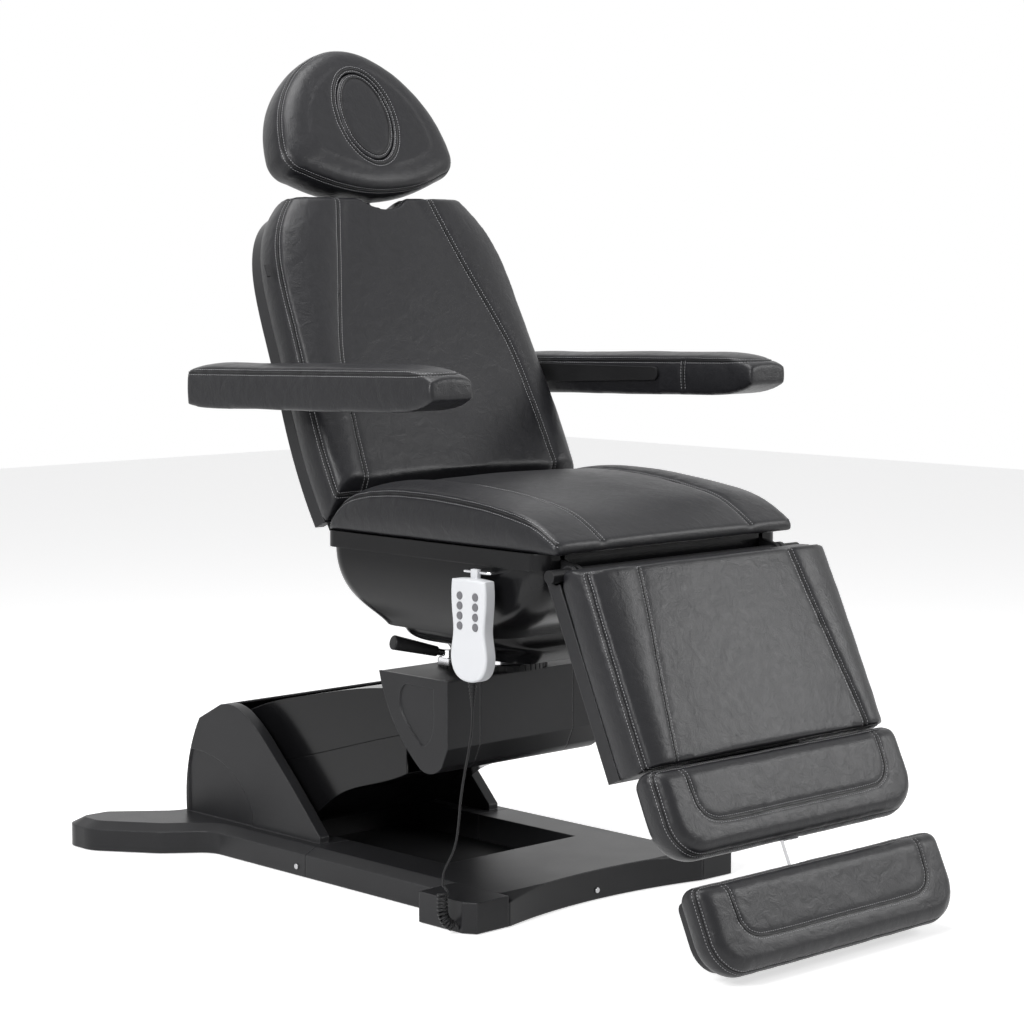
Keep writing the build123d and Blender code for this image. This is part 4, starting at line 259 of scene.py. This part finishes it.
# Base: a steel tray and welded tube frame, under charcoal ABS covers with a textured satin skin.
# The covers are screwed on, and the chair stands on four rubber-faced levelling feet.
# The covers' pale edge colour is partly rubbed wear and partly a painted highlight on their rounded edges.
cover_plastic = skin_material("charcoal cover", (0.0105, 0.0105, 0.0115), (0.075, 0.075, 0.079), 0.34,
                              patch_change=0.07, grains=1200.0, depth=0.00005, radius=0.004, edge_wear_and_highlight=0.8)
frame_paint = skin_material("satin black paint", (0.006, 0.006, 0.0065), (0.04, 0.04, 0.042), 0.46,
                            grains=420.0, depth=0.00006)
bright_steel = skin_material("bright steel", (0.42, 0.42, 0.43), (0.62, 0.62, 0.63), 0.28, patch_change=0.12,
                             grains=900.0, depth=0.00001, radius=0.0008, edge_wear_and_highlight=0.6, metallic=1.0)
dress(cover_plastic, "rear_base_cover", "front_base_cover")
dress(frame_paint, "floor_pan", "base_frame")
dress(black_rubber, "leveling_feet")
dress(bright_steel, "cover_screws")


# Lift arm: two plates and tie tubes under a sloping pair of covers, with the two lower bars of the
# parallelogram and the lift's motor and rod beside it.
gloss_black = skin_material("gloss black", (0.004, 0.004, 0.0045), (0.02, 0.02, 0.021), 0.20,
                            patch_change=0.06, grains=300.0, radius=0.0025, edge_wear_and_highlight=0.4)
motor_grey = skin_material("motor housing", (0.03, 0.03, 0.032), (0.09, 0.09, 0.095), 0.5, grains=1100.0,
                           depth=0.00006)
dress(frame_paint, "arm_frame", "leveling_link")
dress(gloss_black, "arm_upper_cover", "arm_lower_cover")
dress(motor_grey, "lift_motor")
dress(bright_steel, "lift_rod")


# Head: the plates and deck on top of the lift arm, behind a front cover and two side shields.
dress(frame_paint, "head_frame")
dress(cover_plastic, "head_front_cover", "head_side_covers")


# Turntable: a notched black disc with bright strips, its steel top and clamp, and the brake lever
# with a black ribbed grip; the seat's tilt drive stands on it under a gloss bowl.
chrome = skin_material("chrome", (0.72, 0.72, 0.74), (0.9, 0.9, 0.9), 0.11, patch_change=0.05, grains=300.0,
                       depth=0.000005, radius=0.001, edge_wear_and_highlight=0.4, metallic=1.0)
dress(frame_paint, "turntable_base", "tilt_bracket")
dress(chrome, "turntable_top", "brake_lever")
dress(black_rubber, "lever_grip")
dress(gloss_black, "bowl_shroud")
dress(motor_grey, "tilt_motor")
dress(bright_steel, "tilt_rod")


# Seat: a steel frame in a gloss moulded bowl, under a crowned cushion of foam in dark leather with
# two sewn channels, a double-sewn edge seam and a leather front that rolls down to the knee.
def make_leather_grain():
    """The pebble of split leather over soft creases, and its faint mottling."""
    tree = bpy.data.node_groups.new("leather grain", "ShaderNodeTree")
    add_socket(tree, "Pebbles per metre", "Float", 900.0)
    add_socket(tree, "Pebble depth", "Float", 0.00012)
    add_socket(tree, "Crease depth", "Float", 0.0013)
    add_socket(tree, "Creases per metre", "Float", 38.0)
    add_socket(tree, "Mottles per metre", "Float", 75.0)
    for name in ("Height", "Mottle"):
        add_socket(tree, name, "Float", way="OUTPUT")
    given = tree.nodes.new("NodeGroupInput").outputs
    place = tree.nodes.new("ShaderNodeTexCoord").outputs["Object"]
    pebbles = wire_up(tree, "ShaderNodeTexVoronoi", Vector=place, Scale=given["Pebbles per metre"])
    creases = wire_up(tree, "ShaderNodeTexNoise", Vector=place, Scale=given["Creases per metre"], Detail=5.0,
                      Roughness=0.6, Distortion=0.6)
    mottle = wire_up(tree, "ShaderNodeTexNoise", Vector=place, Scale=given["Mottles per metre"], Detail=6.0,
                     Roughness=0.7)
    height = maths(tree, "ADD", maths(tree, "MULTIPLY", pebbles.outputs[0], given["Pebble depth"]),
                   maths(tree, "MULTIPLY", creases.outputs[0], given["Crease depth"]))
    out = tree.nodes.new("NodeGroupOutput")
    tree.links.new(height, out.inputs["Height"])
    tree.links.new(mottle.outputs[0], out.inputs["Mottle"])
    return tree


leather_grain = make_leather_grain()
# Painted shade: the leather's colour goes darker along its seams, where shade falls in the sewn grooves.
seam_shade_colour, seam_shade_strength = (0.004, 0.004, 0.0045), 0.7
shine_change = 0.22


def leather_material(name, colour, worn, roughness):
    """Pigmented leather: fine pebble, a satin shine, and painted shade in a darker line where it is sewn
    down.
    """
    material = bpy.data.materials.new(name)
    material.use_nodes = True
    tree = material.node_tree
    shader = tree.nodes["Principled BSDF"]
    shader.inputs["Specular IOR Level"].default_value = 0.28
    grain = tree.nodes.new("ShaderNodeGroup")
    grain.node_tree = leather_grain
    seam = tree.nodes.new("ShaderNodeAttribute")
    seam.attribute_name = "sewn"
    tone = mixed_colour(tree, grain.outputs["Mottle"], colour, worn)
    # Painted shade in the seams' grooves, read from the sewn attribute.
    painted_seam_shade = maths(tree, "MULTIPLY", seam.outputs["Fac"], seam_shade_strength, clamp=True)
    tree.links.new(mixed_colour(tree, painted_seam_shade, tone, seam_shade_colour), shader.inputs["Base Color"])
    change = maths(tree, "MULTIPLY", maths(tree, "SUBTRACT", grain.outputs["Mottle"], 0.5), shine_change)
    tree.links.new(maths(tree, "ADD", change, roughness, clamp=True), shader.inputs["Roughness"])
    bump = wire_up(tree, "ShaderNodeBump", Height=grain.outputs["Height"], Distance=1.0)
    tree.links.new(bump.outputs[0], shader.inputs["Normal"])
    return material


leather = leather_material("dark leather", (0.0070, 0.0070, 0.0082), (0.0125, 0.0125, 0.0145), 0.36)
welt_leather = leather_material("welt leather", (0.005, 0.005, 0.0055), (0.009, 0.009, 0.010), 0.30)


def thread_material():
    """Waxed grey sewing thread with the twist of its strands."""
    material = bpy.data.materials.new("grey thread")
    material.use_nodes = True
    tree = material.node_tree
    shader = tree.nodes["Principled BSDF"]
    place = tree.nodes.new("ShaderNodeTexCoord").outputs["Object"]
    twist = wire_up(tree, "ShaderNodeTexWave", Vector=place, Scale=900.0, Distortion=1.0)
    tone = mixed_colour(tree, twist.outputs["Fac"], (0.16, 0.16, 0.165), (0.34, 0.34, 0.35))
    tree.links.new(tone, shader.inputs["Base Color"])
    shader.inputs["Roughness"].default_value = 0.6
    return material


grey_thread = thread_material()


def make_stitch_row():
    """A row of lock stitches along a line: short rounded lengths of thread with a gap between."""
    tree = bpy.data.node_groups.new("stitch row", "GeometryNodeTree")
    add_socket(tree, "Geometry", "Geometry")
    add_socket(tree, "Stitch length", "Float", 0.0036)
    add_socket(tree, "Gap", "Float", 0.0016)
    add_socket(tree, "Thread radius", "Float", 0.0006)
    add_socket(tree, "Thread", "Material")
    add_socket(tree, "Geometry", "Geometry", way="OUTPUT")
    given = tree.nodes.new("NodeGroupInput").outputs
    line = wire_up(tree, "GeometryNodeMeshToCurve", Mesh=given["Geometry"])
    spaced = tree.nodes.new("GeometryNodeResampleCurve")
    spaced.mode = "LENGTH"
    tree.links.new(line.outputs[0], spaced.inputs["Curve"])
    tree.links.new(maths(tree, "ADD", given["Stitch length"], given["Gap"]), spaced.inputs["Length"])
    stitch = wire_up(tree, "GeometryNodeMeshUVSphere", Segments=6, Rings=4, Radius=1.0)
    turn = tree.nodes.new("FunctionNodeAlignRotationToVector")
    turn.axis = "X"
    tree.links.new(tree.nodes.new("GeometryNodeInputTangent").outputs[0], turn.inputs["Vector"])
    size = tree.nodes.new("ShaderNodeCombineXYZ")
    tree.links.new(maths(tree, "MULTIPLY", given["Stitch length"], 0.5), size.inputs[0])
    tree.links.new(given["Thread radius"], size.inputs[1])
    tree.links.new(given["Thread radius"], size.inputs[2])
    row = wire_up(tree, "GeometryNodeInstanceOnPoints", Points=spaced.outputs[0],
                  Instance=stitch.outputs["Mesh"], Rotation=turn.outputs[0], Scale=size.outputs[0])
    real = wire_up(tree, "GeometryNodeRealizeInstances", i0=row.outputs[0])
    smooth = wire_up(tree, "GeometryNodeSetShadeSmooth", i0=real.outputs[0])
    finish = wire_up(tree, "GeometryNodeSetMaterial", Geometry=smooth.outputs[0],
                     Material=given["Thread"])
    tree.links.new(finish.outputs[0], tree.nodes.new("NodeGroupOutput").inputs[0])
    return tree


def make_welt():
    """The folded leather edge that shows along a seam: a thin round bead on the line."""
    tree = bpy.data.node_groups.new("welt", "GeometryNodeTree")
    add_socket(tree, "Geometry", "Geometry")
    add_socket(tree, "Bead radius", "Float", 0.0011)
    add_socket(tree, "Leather", "Material")
    add_socket(tree, "Geometry", "Geometry", way="OUTPUT")
    given = tree.nodes.new("NodeGroupInput").outputs
    line = wire_up(tree, "GeometryNodeMeshToCurve", Mesh=given["Geometry"])
    bead = wire_up(tree, "GeometryNodeCurvePrimitiveCircle", Resolution=6, Radius=given["Bead radius"])
    tube = wire_up(tree, "GeometryNodeCurveToMesh", Curve=line.outputs[0], Profile_Curve=bead.outputs[0],
                   Fill_Caps=True)
    real = wire_up(tree, "GeometryNodeRealizeInstances", i0=tube.outputs[0])
    smooth = wire_up(tree, "GeometryNodeSetShadeSmooth", i0=real.outputs[0])
    finish = wire_up(tree, "GeometryNodeSetMaterial", Geometry=smooth.outputs[0],
                     Material=given["Leather"])
    tree.links.new(finish.outputs[0], tree.nodes.new("NodeGroupOutput").inputs[0])
    return tree


stitch_row = make_stitch_row()
welt = make_welt()


def plain_mesh(made):
    """Turns a worked-out object into a plain mesh and drops its modifiers."""
    mesh = bpy.data.meshes.new_from_object(made.evaluated_get(bpy.context.evaluated_depsgraph_get()))
    made.modifiers.clear()
    made.data = mesh
    return made


def sewn_piece(name, body, tree, lines, **values):
    """Runs a stitch or welt tree along lines of points, and sets the result on its body."""
    points, edges = [], []
    for line, closed in lines:
        start = len(points)
        points += line
        edges += [(start + i, start + i + 1) for i in range(len(line) - 1)]
        if closed:
            edges.append((len(points) - 1, start))
    mesh = bpy.data.meshes.new(name)
    mesh.from_pydata(points, edges, [])
    piece = bpy.data.objects.new(name, mesh)
    bpy.context.collection.objects.link(piece)
    modifier = piece.modifiers.new("sewing", "NODES")
    modifier.node_group = tree
    for socket in tree.interface.items_tree:
        if socket.in_out == "INPUT" and socket.name in values:
            modifier[socket.identifier] = values[socket.name]
    plain_mesh(piece)
    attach(piece, body)


def leather_skin(node, name, voxel=0.0045, rounding=7):
    """A pad's leather: the foam block's form, meshed evenly, with its edges drawn soft."""
    mesh = nodes[node].data.copy()
    work = bmesh.new()
    work.from_mesh(mesh)
    bmesh.ops.remove_doubles(work, verts=work.verts, dist=0.00001)
    work.to_mesh(mesh)
    work.free()
    mesh.materials.clear()
    skin = bpy.data.objects.new(name, mesh)
    bpy.context.collection.objects.link(skin)
    even = skin.modifiers.new("even", "REMESH")
    even.mode = "VOXEL"
    even.voxel_size = voxel
    soft = skin.modifiers.new("soft", "SMOOTH")
    soft.factor = 0.5
    soft.iterations = rounding
    plain_mesh(skin)
    skin.data.materials.clear()
    skin.data.materials.append(leather)
    skin.data.shade_smooth()
    return skin


def surface_of(skin):
    """The skin as a surface that lines can be laid on."""
    return BVHTree.FromPolygons([v.co for v in skin.data.vertices], [p.vertices for p in skin.data.polygons])


def curve_through(points, spacing=0.003, closed=False):
    """Evenly spaced points on a smooth curve through the given ones."""
    points = [Vector(point) for point in points]
    if closed:
        knots = points[-1:] + points + points[:2]
    else:
        knots = [points[0] * 2 - points[1]] + points + [points[-1] * 2 - points[-2]]
    line = []
    for a, b, c, d in zip(knots, knots[1:], knots[2:], knots[3:]):
        count = max(1, math.ceil((c - b).length / spacing))
        for i in range(count):
            t = i / count
            line.append(0.5 * (2 * b + (c - a) * t + (2 * a - 5 * b + 4 * c - d) * t * t
                               + (3 * b - a - 3 * c + d) * t ** 3))
    return line if closed else line + [points[-1]]


# seam_shade is how far the painted shade reaches out from a seam.
seam_shade = 0.0035
pucker_depth, pucker_reach, puckers_per_metre = 0.0009, 0.018, 55
wave_depth, waves_per_metre = 0.0007, 14
thread_lift, bead_lift_share = 0.0002, 0.2


def sew(skin, body, seams, rows=(-0.0045, 0.0045), depth=0.0024, breadth=0.007, bead=0.0011):
    """Draws the skin in along its seams, puckers it beside them, and adds the welt and the stitches."""
    tree = kdtree.KDTree(sum(len(line) for line, _ in seams))
    index = 0
    for line, _ in seams:
        for point in line:
            tree.insert(point, index)
            index += 1
    tree.balance()
    seam_shade_falloff, moved = [], []
    for place, way in [(vertex.co.copy(), vertex.normal.copy()) for vertex in skin.data.vertices]:
        gap = tree.find(place)[2]
        # Painted shade: strongest on the seam line, fading out to either side.
        seam_shade_falloff.append(math.exp(-(gap / seam_shade) ** 2))
        pull = depth * math.exp(-(gap / breadth) ** 2)
        pucker = pucker_depth * math.exp(-gap / pucker_reach) * noise.noise(place * puckers_per_metre)
        wave = wave_depth * noise.noise(place * waves_per_metre)
        moved += list(place - way * (pull + pucker + wave))
    skin.data.vertices.foreach_set("co", moved)
    skin.data.update()
    # The sewn attribute carries this painted shade to the leather's colour.
    sewn = skin.data.attributes.new("sewn", "FLOAT", "POINT")
    sewn.data.foreach_set("value", seam_shade_falloff)
    surface = surface_of(skin)
    laid, threads = [], []
    for line, closed in seams:
        middle, sides = [], [[] for _ in rows]
        for i, point in enumerate(line):
            before = line[i - 1] if i or closed else point
            after = line[(i + 1) % len(line)] if closed or i + 1 < len(line) else point
            spot, normal, _, _ = surface.find_nearest(point)
            middle.append(spot + normal * bead * bead_lift_share)
            beside = (after - before).cross(normal).normalized()
            for side, offset in zip(sides, rows):
                spot, normal, _, _ = surface.find_nearest(point + beside * offset)
                side.append(spot + normal * thread_lift)
        laid.append((middle, closed))
        threads += [(side, closed) for side in sides]
    sewn_piece(skin.name + "_welts", body, welt, laid, **{"Bead radius": bead, "Leather": welt_leather})
    sewn_piece(skin.name + "_stitches", body, stitch_row, threads, **{"Thread": grey_thread})
    skin.data.update()


def finish_pad(skin, body, node):
    """Sets a finished pad in place of its foam block."""
    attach(skin, body)
    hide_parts(node)


ray_start = 0.4


def dropped_line(surface, points, ray):
    """Lays a line on the surface by moving its points along a direction until they touch."""
    line = []
    for point in points:
        spot = surface.ray_cast(Vector(point) - Vector(ray) * ray_start, Vector(ray))[0]
        if spot is not None:
            line.append(spot)
    return line


dress(frame_paint, "seat_frame")
dress(gloss_black, "seat_shell")
dress(chrome, "remote_hook")
dress(frame_paint, "hinge_pins")
seat_half, seat_length, seat_rear, seat_floor, seat_edge = 0.286, 0.590, -0.112, 0.6373, 0.084
seat_form = [(0.0, 0.12, 0.70), (0.035, 0.42, 0.70), (0.085, 0.68, 0.695), (0.16, 0.85, 0.69),
             (0.27, 0.95, 0.68), (0.42, 0.97, 0.665), (0.57, 0.92, 0.65), (0.71, 0.82, 0.64),
             (0.86, 0.60, 0.63), (0.96, 0.22, 0.63)]
seam_height = 0.93 * seat_edge
above_seat = 0.9
seat_skin = leather_skin("seat_cushion", "seat_leather")
seat_top = surface_of(seat_skin)
seat_seams = []
for side in (-1, 1):
    channel = [(side * seam * seat_half, seat_rear - run * seat_length, above_seat)
               for run, _, seam in seat_form]
    seat_seams.append((dropped_line(seat_top, curve_through(channel), (0, 0, -1)), False))
    edge = [(0, seat_rear - run * seat_length, seat_floor + rise * seam_height) for run, rise, _ in seat_form]
    seat_seams.append((dropped_line(seat_top, curve_through(edge), (-side, 0, 0)), False))
sew(seat_skin, "seat", seat_seams)
finish_pad(seat_skin, "seat", "seat_cushion")


# Back: a tube frame behind a moulded shell, and a tall crowned cushion that narrows to the neck, with
# two curved sewn channels, a double-sewn edge, and a small blank woven tag caught in the edge seam.
class PadPlane:
    """A pad's own directions: across to the sitter's left, along its length, and out of its face.

    The length leans back from upright by an angle; face is -1 where the pad faces the other way.
    """

    def __init__(self, origin, lean, face=1):
        self.origin = Vector(origin)
        self.along = Vector((0, math.sin(math.radians(lean)), math.cos(math.radians(lean))))
        self.out = Vector((0, -self.along.z, self.along.y)) * face

    def at(self, across, along, out=0.0):
        """The point at a distance along each of the pad's directions."""
        return self.origin + Vector((across, 0, 0)) + self.along * along + self.out * out


edge_reach, edge_spacing = 0.1, 0.002


def face_line(plane, surface, points, closed=False):
    """A line drawn on a pad's face, from points across and along it."""
    curve = curve_through([plane.at(across, along) for across, along in points], closed=closed)
    return dropped_line(surface, curve, -plane.out), closed


def edge_line(plane, surface, middle, half, corner, out, count=360):
    """The edge seam: a ring round a pad at one height out of its plane, found from outside its outline.

    Middle and half give the outline's centre and half size, and corner how far its corners round off.
    """
    ring = []
    for i in range(count):
        angle = 2 * math.pi * i / count
        way = (math.cos(angle), math.sin(angle))
        reach = min((h + edge_reach) / max(abs(w), 1e-6) for h, w in zip(half, way))
        start = (way[0] * reach, way[1] * reach)
        aim = [max(-(h - corner), min(h - corner, s)) for s, h in zip(start, half)]
        begin = plane.at(middle[0] + start[0], middle[1] + start[1], out)
        target = plane.at(middle[0] + aim[0], middle[1] + aim[1], out)
        spot = surface.ray_cast(begin, (target - begin).normalized())[0]
        if spot is not None and (not ring or (spot - ring[-1]).length > edge_spacing):
            ring.append(spot)
    return curve_through(ring, closed=True), True


back_plane = PadPlane((0, -0.144, 0.713), 24.3)
back_length, back_half = 0.556, 0.290
back_form = [(-0.06, 0.795), (0.11, 0.775), (0.25, 0.755), (0.45, 0.70), (0.70, 0.545), (0.84, 0.46),
             (0.94, 0.40), (0.985, 0.385)]
back_skin = leather_skin("back_cushion", "back_leather")
back_face = surface_of(back_skin)
pad_seam_out = -0.010
back_seams = [face_line(back_plane, back_face, [(side * seam * back_half, run * back_length)
                                                for run, seam in back_form]) for side in (-1, 1)]
back_seams.append(edge_line(back_plane, back_face, (0, 0.27), (0.28, 0.29), 0.12, pad_seam_out))
sew(back_skin, "back", back_seams)
finish_pad(back_skin, "back", "back_cushion")
dress(frame_paint, "back_frame")
dress(cover_plastic, "back_shell")
dress(motor_grey, "back_motor")
dress(bright_steel, "back_rod")

tag_place, tag_half_width = (-0.2915, 0.412, -0.012), 0.011
tag_loop, tag_loop_height, tag_steps = 0.009, 0.0035, 8
tag_mesh = bmesh.new()
tag_rows = []
for along in (-tag_half_width, tag_half_width):
    row = []
    for step in range(tag_steps + 1):
        angle = math.pi * (step / tag_steps - 0.5)
        row.append(tag_mesh.verts.new(back_plane.at(tag_place[0] - tag_loop * math.cos(angle),
                                                    tag_place[1] + along,
                                                    tag_place[2] + tag_loop_height * math.sin(angle))))
    tag_rows.append(row)
for i in range(tag_steps):
    tag_mesh.faces.new((tag_rows[0][i], tag_rows[0][i + 1], tag_rows[1][i + 1], tag_rows[1][i]))
tag_data = bpy.data.meshes.new("blank_tag")
tag_mesh.to_mesh(tag_data)
tag_mesh.free()
blank_tag = bpy.data.objects.new("blank_tag", tag_data)
bpy.context.collection.objects.link(blank_tag)
cloth = blank_tag.modifiers.new("cloth", "SOLIDIFY")
cloth.thickness = 0.0008
plain_mesh(blank_tag)
woven_tag = skin_material("woven tag", (0.016, 0.016, 0.017), (0.05, 0.05, 0.052), 0.8, patch_change=0.05,
                          grains=2500.0, depth=0.00008)
blank_tag.data.materials.append(woven_tag)
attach(blank_tag, "back")


# Headrest: an egg-shaped pad of leather on two bright rods, with a double-sewn edge and an oval face
# plug that pulls out; a row of stitches runs round the plug's hole.
head_centre, head_width, head_height = 0.702, 0.205, 0.146


def face_oval(half_width, half_height):
    """Points of an oval on the headrest's face."""
    angles = [math.radians(degrees) for degrees in range(0, 360, 15)]
    return [(half_width * math.cos(angle), head_centre + half_height * math.sin(angle)) for angle in angles]


head_skin = leather_skin("headrest_cushion", "headrest_leather", voxel=0.0035, rounding=6)
head_face = surface_of(head_skin)
head_seams = [face_line(back_plane, head_face, face_oval(0.070, 0.096), closed=True),
              edge_line(back_plane, head_face, (0, head_centre), (head_width, head_height), 0.11, 0.010)]
sew(head_skin, "headrest", head_seams, depth=0.0018)
finish_pad(head_skin, "headrest", "headrest_cushion")
plug_skin = leather_skin("face_plug", "face_plug_leather", voxel=0.003, rounding=5)
plug_seams = [face_line(back_plane, surface_of(plug_skin), face_oval(0.052, 0.078), closed=True)]
sew(plug_skin, "plug", plug_seams, rows=(0.0035,), depth=0.0012)
finish_pad(plug_skin, "plug", "face_plug")
dress(bright_steel, "headrest_post")


# Armrests: long padded bars of leather on steel brackets that turn on pins in the back's frame.
# A seam runs round each bar under its top edge, and one crosses its inner side.
arm_plane = PadPlane((0, 0.027, 0.886), -88.5, face=-1)
arm_middle, arm_half, arm_corner, arm_seam_out = (0.381, 0.245), (0.047, 0.32), 0.04, 0.024
cross_along, cross_heights = 0.40, (0.022, 0.005, -0.012, -0.026)
for side, word in ((-1, "right"), (1, "left")):
    arm_skin = leather_skin(word + "_armrest_pad", word + "_armrest_leather", voxel=0.004, rounding=6)
    arm_face = surface_of(arm_skin)
    top_edge = edge_line(arm_plane, arm_face, (side * arm_middle[0], arm_middle[1]), arm_half, arm_corner,
                         arm_seam_out)
    cross = curve_through([arm_plane.at(0, cross_along, height) for height in cross_heights])
    cross_seam = (dropped_line(arm_face, cross, (side, 0, 0)), False)
    sew(arm_skin, word + "_armrest", [top_edge, cross_seam], depth=0.0016)
    finish_pad(arm_skin, word + "_armrest", word + "_armrest_pad")
    dress(frame_paint, word + "_armrest_bracket")


# Leg rest: a moulded shell with a crowned pad hinged at the knee, and under it the upper foot pad,
# whose face has one broad sewn U.
dress(cover_plastic, "leg_shell")
dress(motor_grey, "leg_motor")
dress(bright_steel, "leg_rod")
leg_plane = PadPlane((0, -0.746, 0.628), 24.4)
leg_length, leg_half = 0.334, 0.292
leg_form = [(0.0, 0.62), (-0.25, 0.66), (-0.55, 0.715), (-0.85, 0.77), (-0.985, 0.79)]
leg_skin = leather_skin("leg_cushion", "leg_leather")
leg_face = surface_of(leg_skin)
leg_seams = [face_line(leg_plane, leg_face, [(side * seam * leg_half, run * leg_length)
                                             for run, seam in leg_form]) for side in (-1, 1)]
leg_seams.append(edge_line(leg_plane, leg_face, (0, -0.16), (0.285, 0.16), 0.03, pad_seam_out))
sew(leg_skin, "leg_rest", leg_seams)
finish_pad(leg_skin, "leg_rest", "leg_cushion")

u_half, u_drop, u_turn = 0.234, 0.096, 0.05
u_start, u_flare, u_turn_angles = 0.006, 0.002, (0.5, 1.05)
foot_half, foot_height, foot_corner, foot_seam_drop = 0.29, 0.142, 0.055, 0.013


def foot_pad_leather(node, name, body, top, face):
    """A foot pad: the block's leather, its U-shaped channel and its edge seam.

    Top is where the pad starts along the leg's plane, and face how far its face stands out of it.
    """
    skin = leather_skin(node, name, voxel=0.004, rounding=6)
    surface = surface_of(skin)
    turn_top = top - (u_drop - u_turn)
    points = [(-u_half, top - u_start), (-u_half + u_flare, turn_top)]
    points += [(-u_half + u_turn * (1 - math.cos(angle)), turn_top - u_turn * math.sin(angle))
               for angle in u_turn_angles]
    points += [(-u_half + u_turn * 1.4, top - u_drop), (0, top - u_drop)]
    points += [(-x, y) for x, y in reversed(points[:-1])]
    edge = edge_line(leg_plane, surface, (0, top - foot_height / 2), (foot_half, foot_height / 2),
                     foot_corner, face - foot_seam_drop)
    sew(skin, body, [face_line(leg_plane, surface, points), edge], depth=0.002)
    finish_pad(skin, body, node)


foot_pad_leather("upper_foot_cushion", "upper_foot_leather", "leg_rest", -0.338, 0.017)


# Sliding foot: the lower foot pad on its own shell, drawn out on one flat steel bar.
foot_pad_leather("lower_foot_cushion", "lower_foot_leather", "foot", -0.527, 0.0298)
dress(cover_plastic, "lower_foot_shell")
dress(bright_steel, "slide_bar")


# Hand control: a white waisted ABS case on a wire hook, with eight round grey keys in two columns
# and a black rubber boot for the cord.
remote_white = skin_material("white case", (0.60, 0.61, 0.63), (0.68, 0.68, 0.69), 0.36, patch_change=0.05,
                             depth=0.00002, edge_wear_and_highlight=0.2)
key_grey = skin_material("grey key", (0.13, 0.13, 0.14), (0.28, 0.28, 0.29), 0.45, patch_change=0.05,
                         depth=0.00002, radius=0.0005, edge_wear_and_highlight=0.4)
dress(remote_white, "remote_case")
dress(key_grey, *["remote_button_%d" % i for i in range(1, 9)])
dress(black_rubber, "strain_relief")


# Studio: a pale floor and white surround, two large soft lamps and a weak fill from the right.
def seen_by_camera(tree):
    """1 where the camera sees the surround, straight on or in metal or glass, and 0 for its light."""
    path = tree.nodes.new("ShaderNodeLightPath").outputs
    straight = maths(tree, "MAXIMUM", path["Is Camera Ray"], path["Is Glossy Ray"])
    return maths(tree, "MAXIMUM", straight, path["Is Transmission Ray"])


world = bpy.data.worlds.new("studio")
world.use_nodes = True
bpy.context.scene.world = world
sky = world.node_tree
sky_light = sky.nodes["Background"]
sky_light.inputs["Color"].default_value = (0.75, 0.75, 0.76, 1)
sky_light.inputs["Strength"].default_value = 0.3
white = wire_up(sky, "ShaderNodeBackground", Color=(1, 1, 1, 1), Strength=1.0)
choice = wire_up(sky, "ShaderNodeMixShader", i0=seen_by_camera(sky), i1=sky_light.outputs[0],
                 i2=white.outputs[0])
sky.links.new(choice.outputs[0], sky.nodes["World Output"].inputs["Surface"])

floor_half = 8
floor_mesh = bpy.data.meshes.new("studio_floor")
floor_mesh.from_pydata([(-floor_half, -floor_half, 0), (floor_half, -floor_half, 0),
                        (floor_half, floor_half, 0), (-floor_half, floor_half, 0)], [], [(0, 1, 2, 3)])
studio_floor = bpy.data.objects.new("studio_floor", floor_mesh)
bpy.context.collection.objects.link(studio_floor)
pale_floor = bpy.data.materials.new("pale floor")
pale_floor.use_nodes = True
tree = pale_floor.node_tree
matte = tree.nodes["Principled BSDF"]
matte.inputs["Base Color"].default_value = (0.8, 0.8, 0.8, 1)
matte.inputs["Roughness"].default_value = 0.9
glow = wire_up(tree, "ShaderNodeEmission", Color=(1, 1, 1, 1), Strength=0.62)
both = wire_up(tree, "ShaderNodeAddShader", i0=matte.outputs[0], i1=glow.outputs[0])
choice = wire_up(tree, "ShaderNodeMixShader", i0=seen_by_camera(tree), i1=matte.outputs[0],
                 i2=both.outputs[0])
tree.links.new(choice.outputs[0], tree.nodes["Material Output"].inputs["Surface"])
floor_mesh.materials.append(pale_floor)

for name, place, aim, size, power in (("overhead lamp", (-0.4, -0.2, 3.2), (0, -0.3, 0.6), 1.8, 75),
                                      ("left lamp", (-3.0, -1.2, 2.0), (0, -0.4, 0.7), 1.2, 90),
                                      ("right fill", (2.4, -2.8, 1.8), (0, -0.4, 0.6), 1.2, 45)):
    lamp = bpy.data.objects.new(name, bpy.data.lights.new(name, "AREA"))
    lamp.data.shape = "SQUARE"
    lamp.data.size = size
    lamp.data.energy = power
    lamp.location = place
    lamp.rotation_euler = (Vector(aim) - Vector(place)).to_track_quat("-Z", "Y").to_euler()
    bpy.context.collection.objects.link(lamp)

bpy.context.scene.view_settings.view_transform = "Standard"
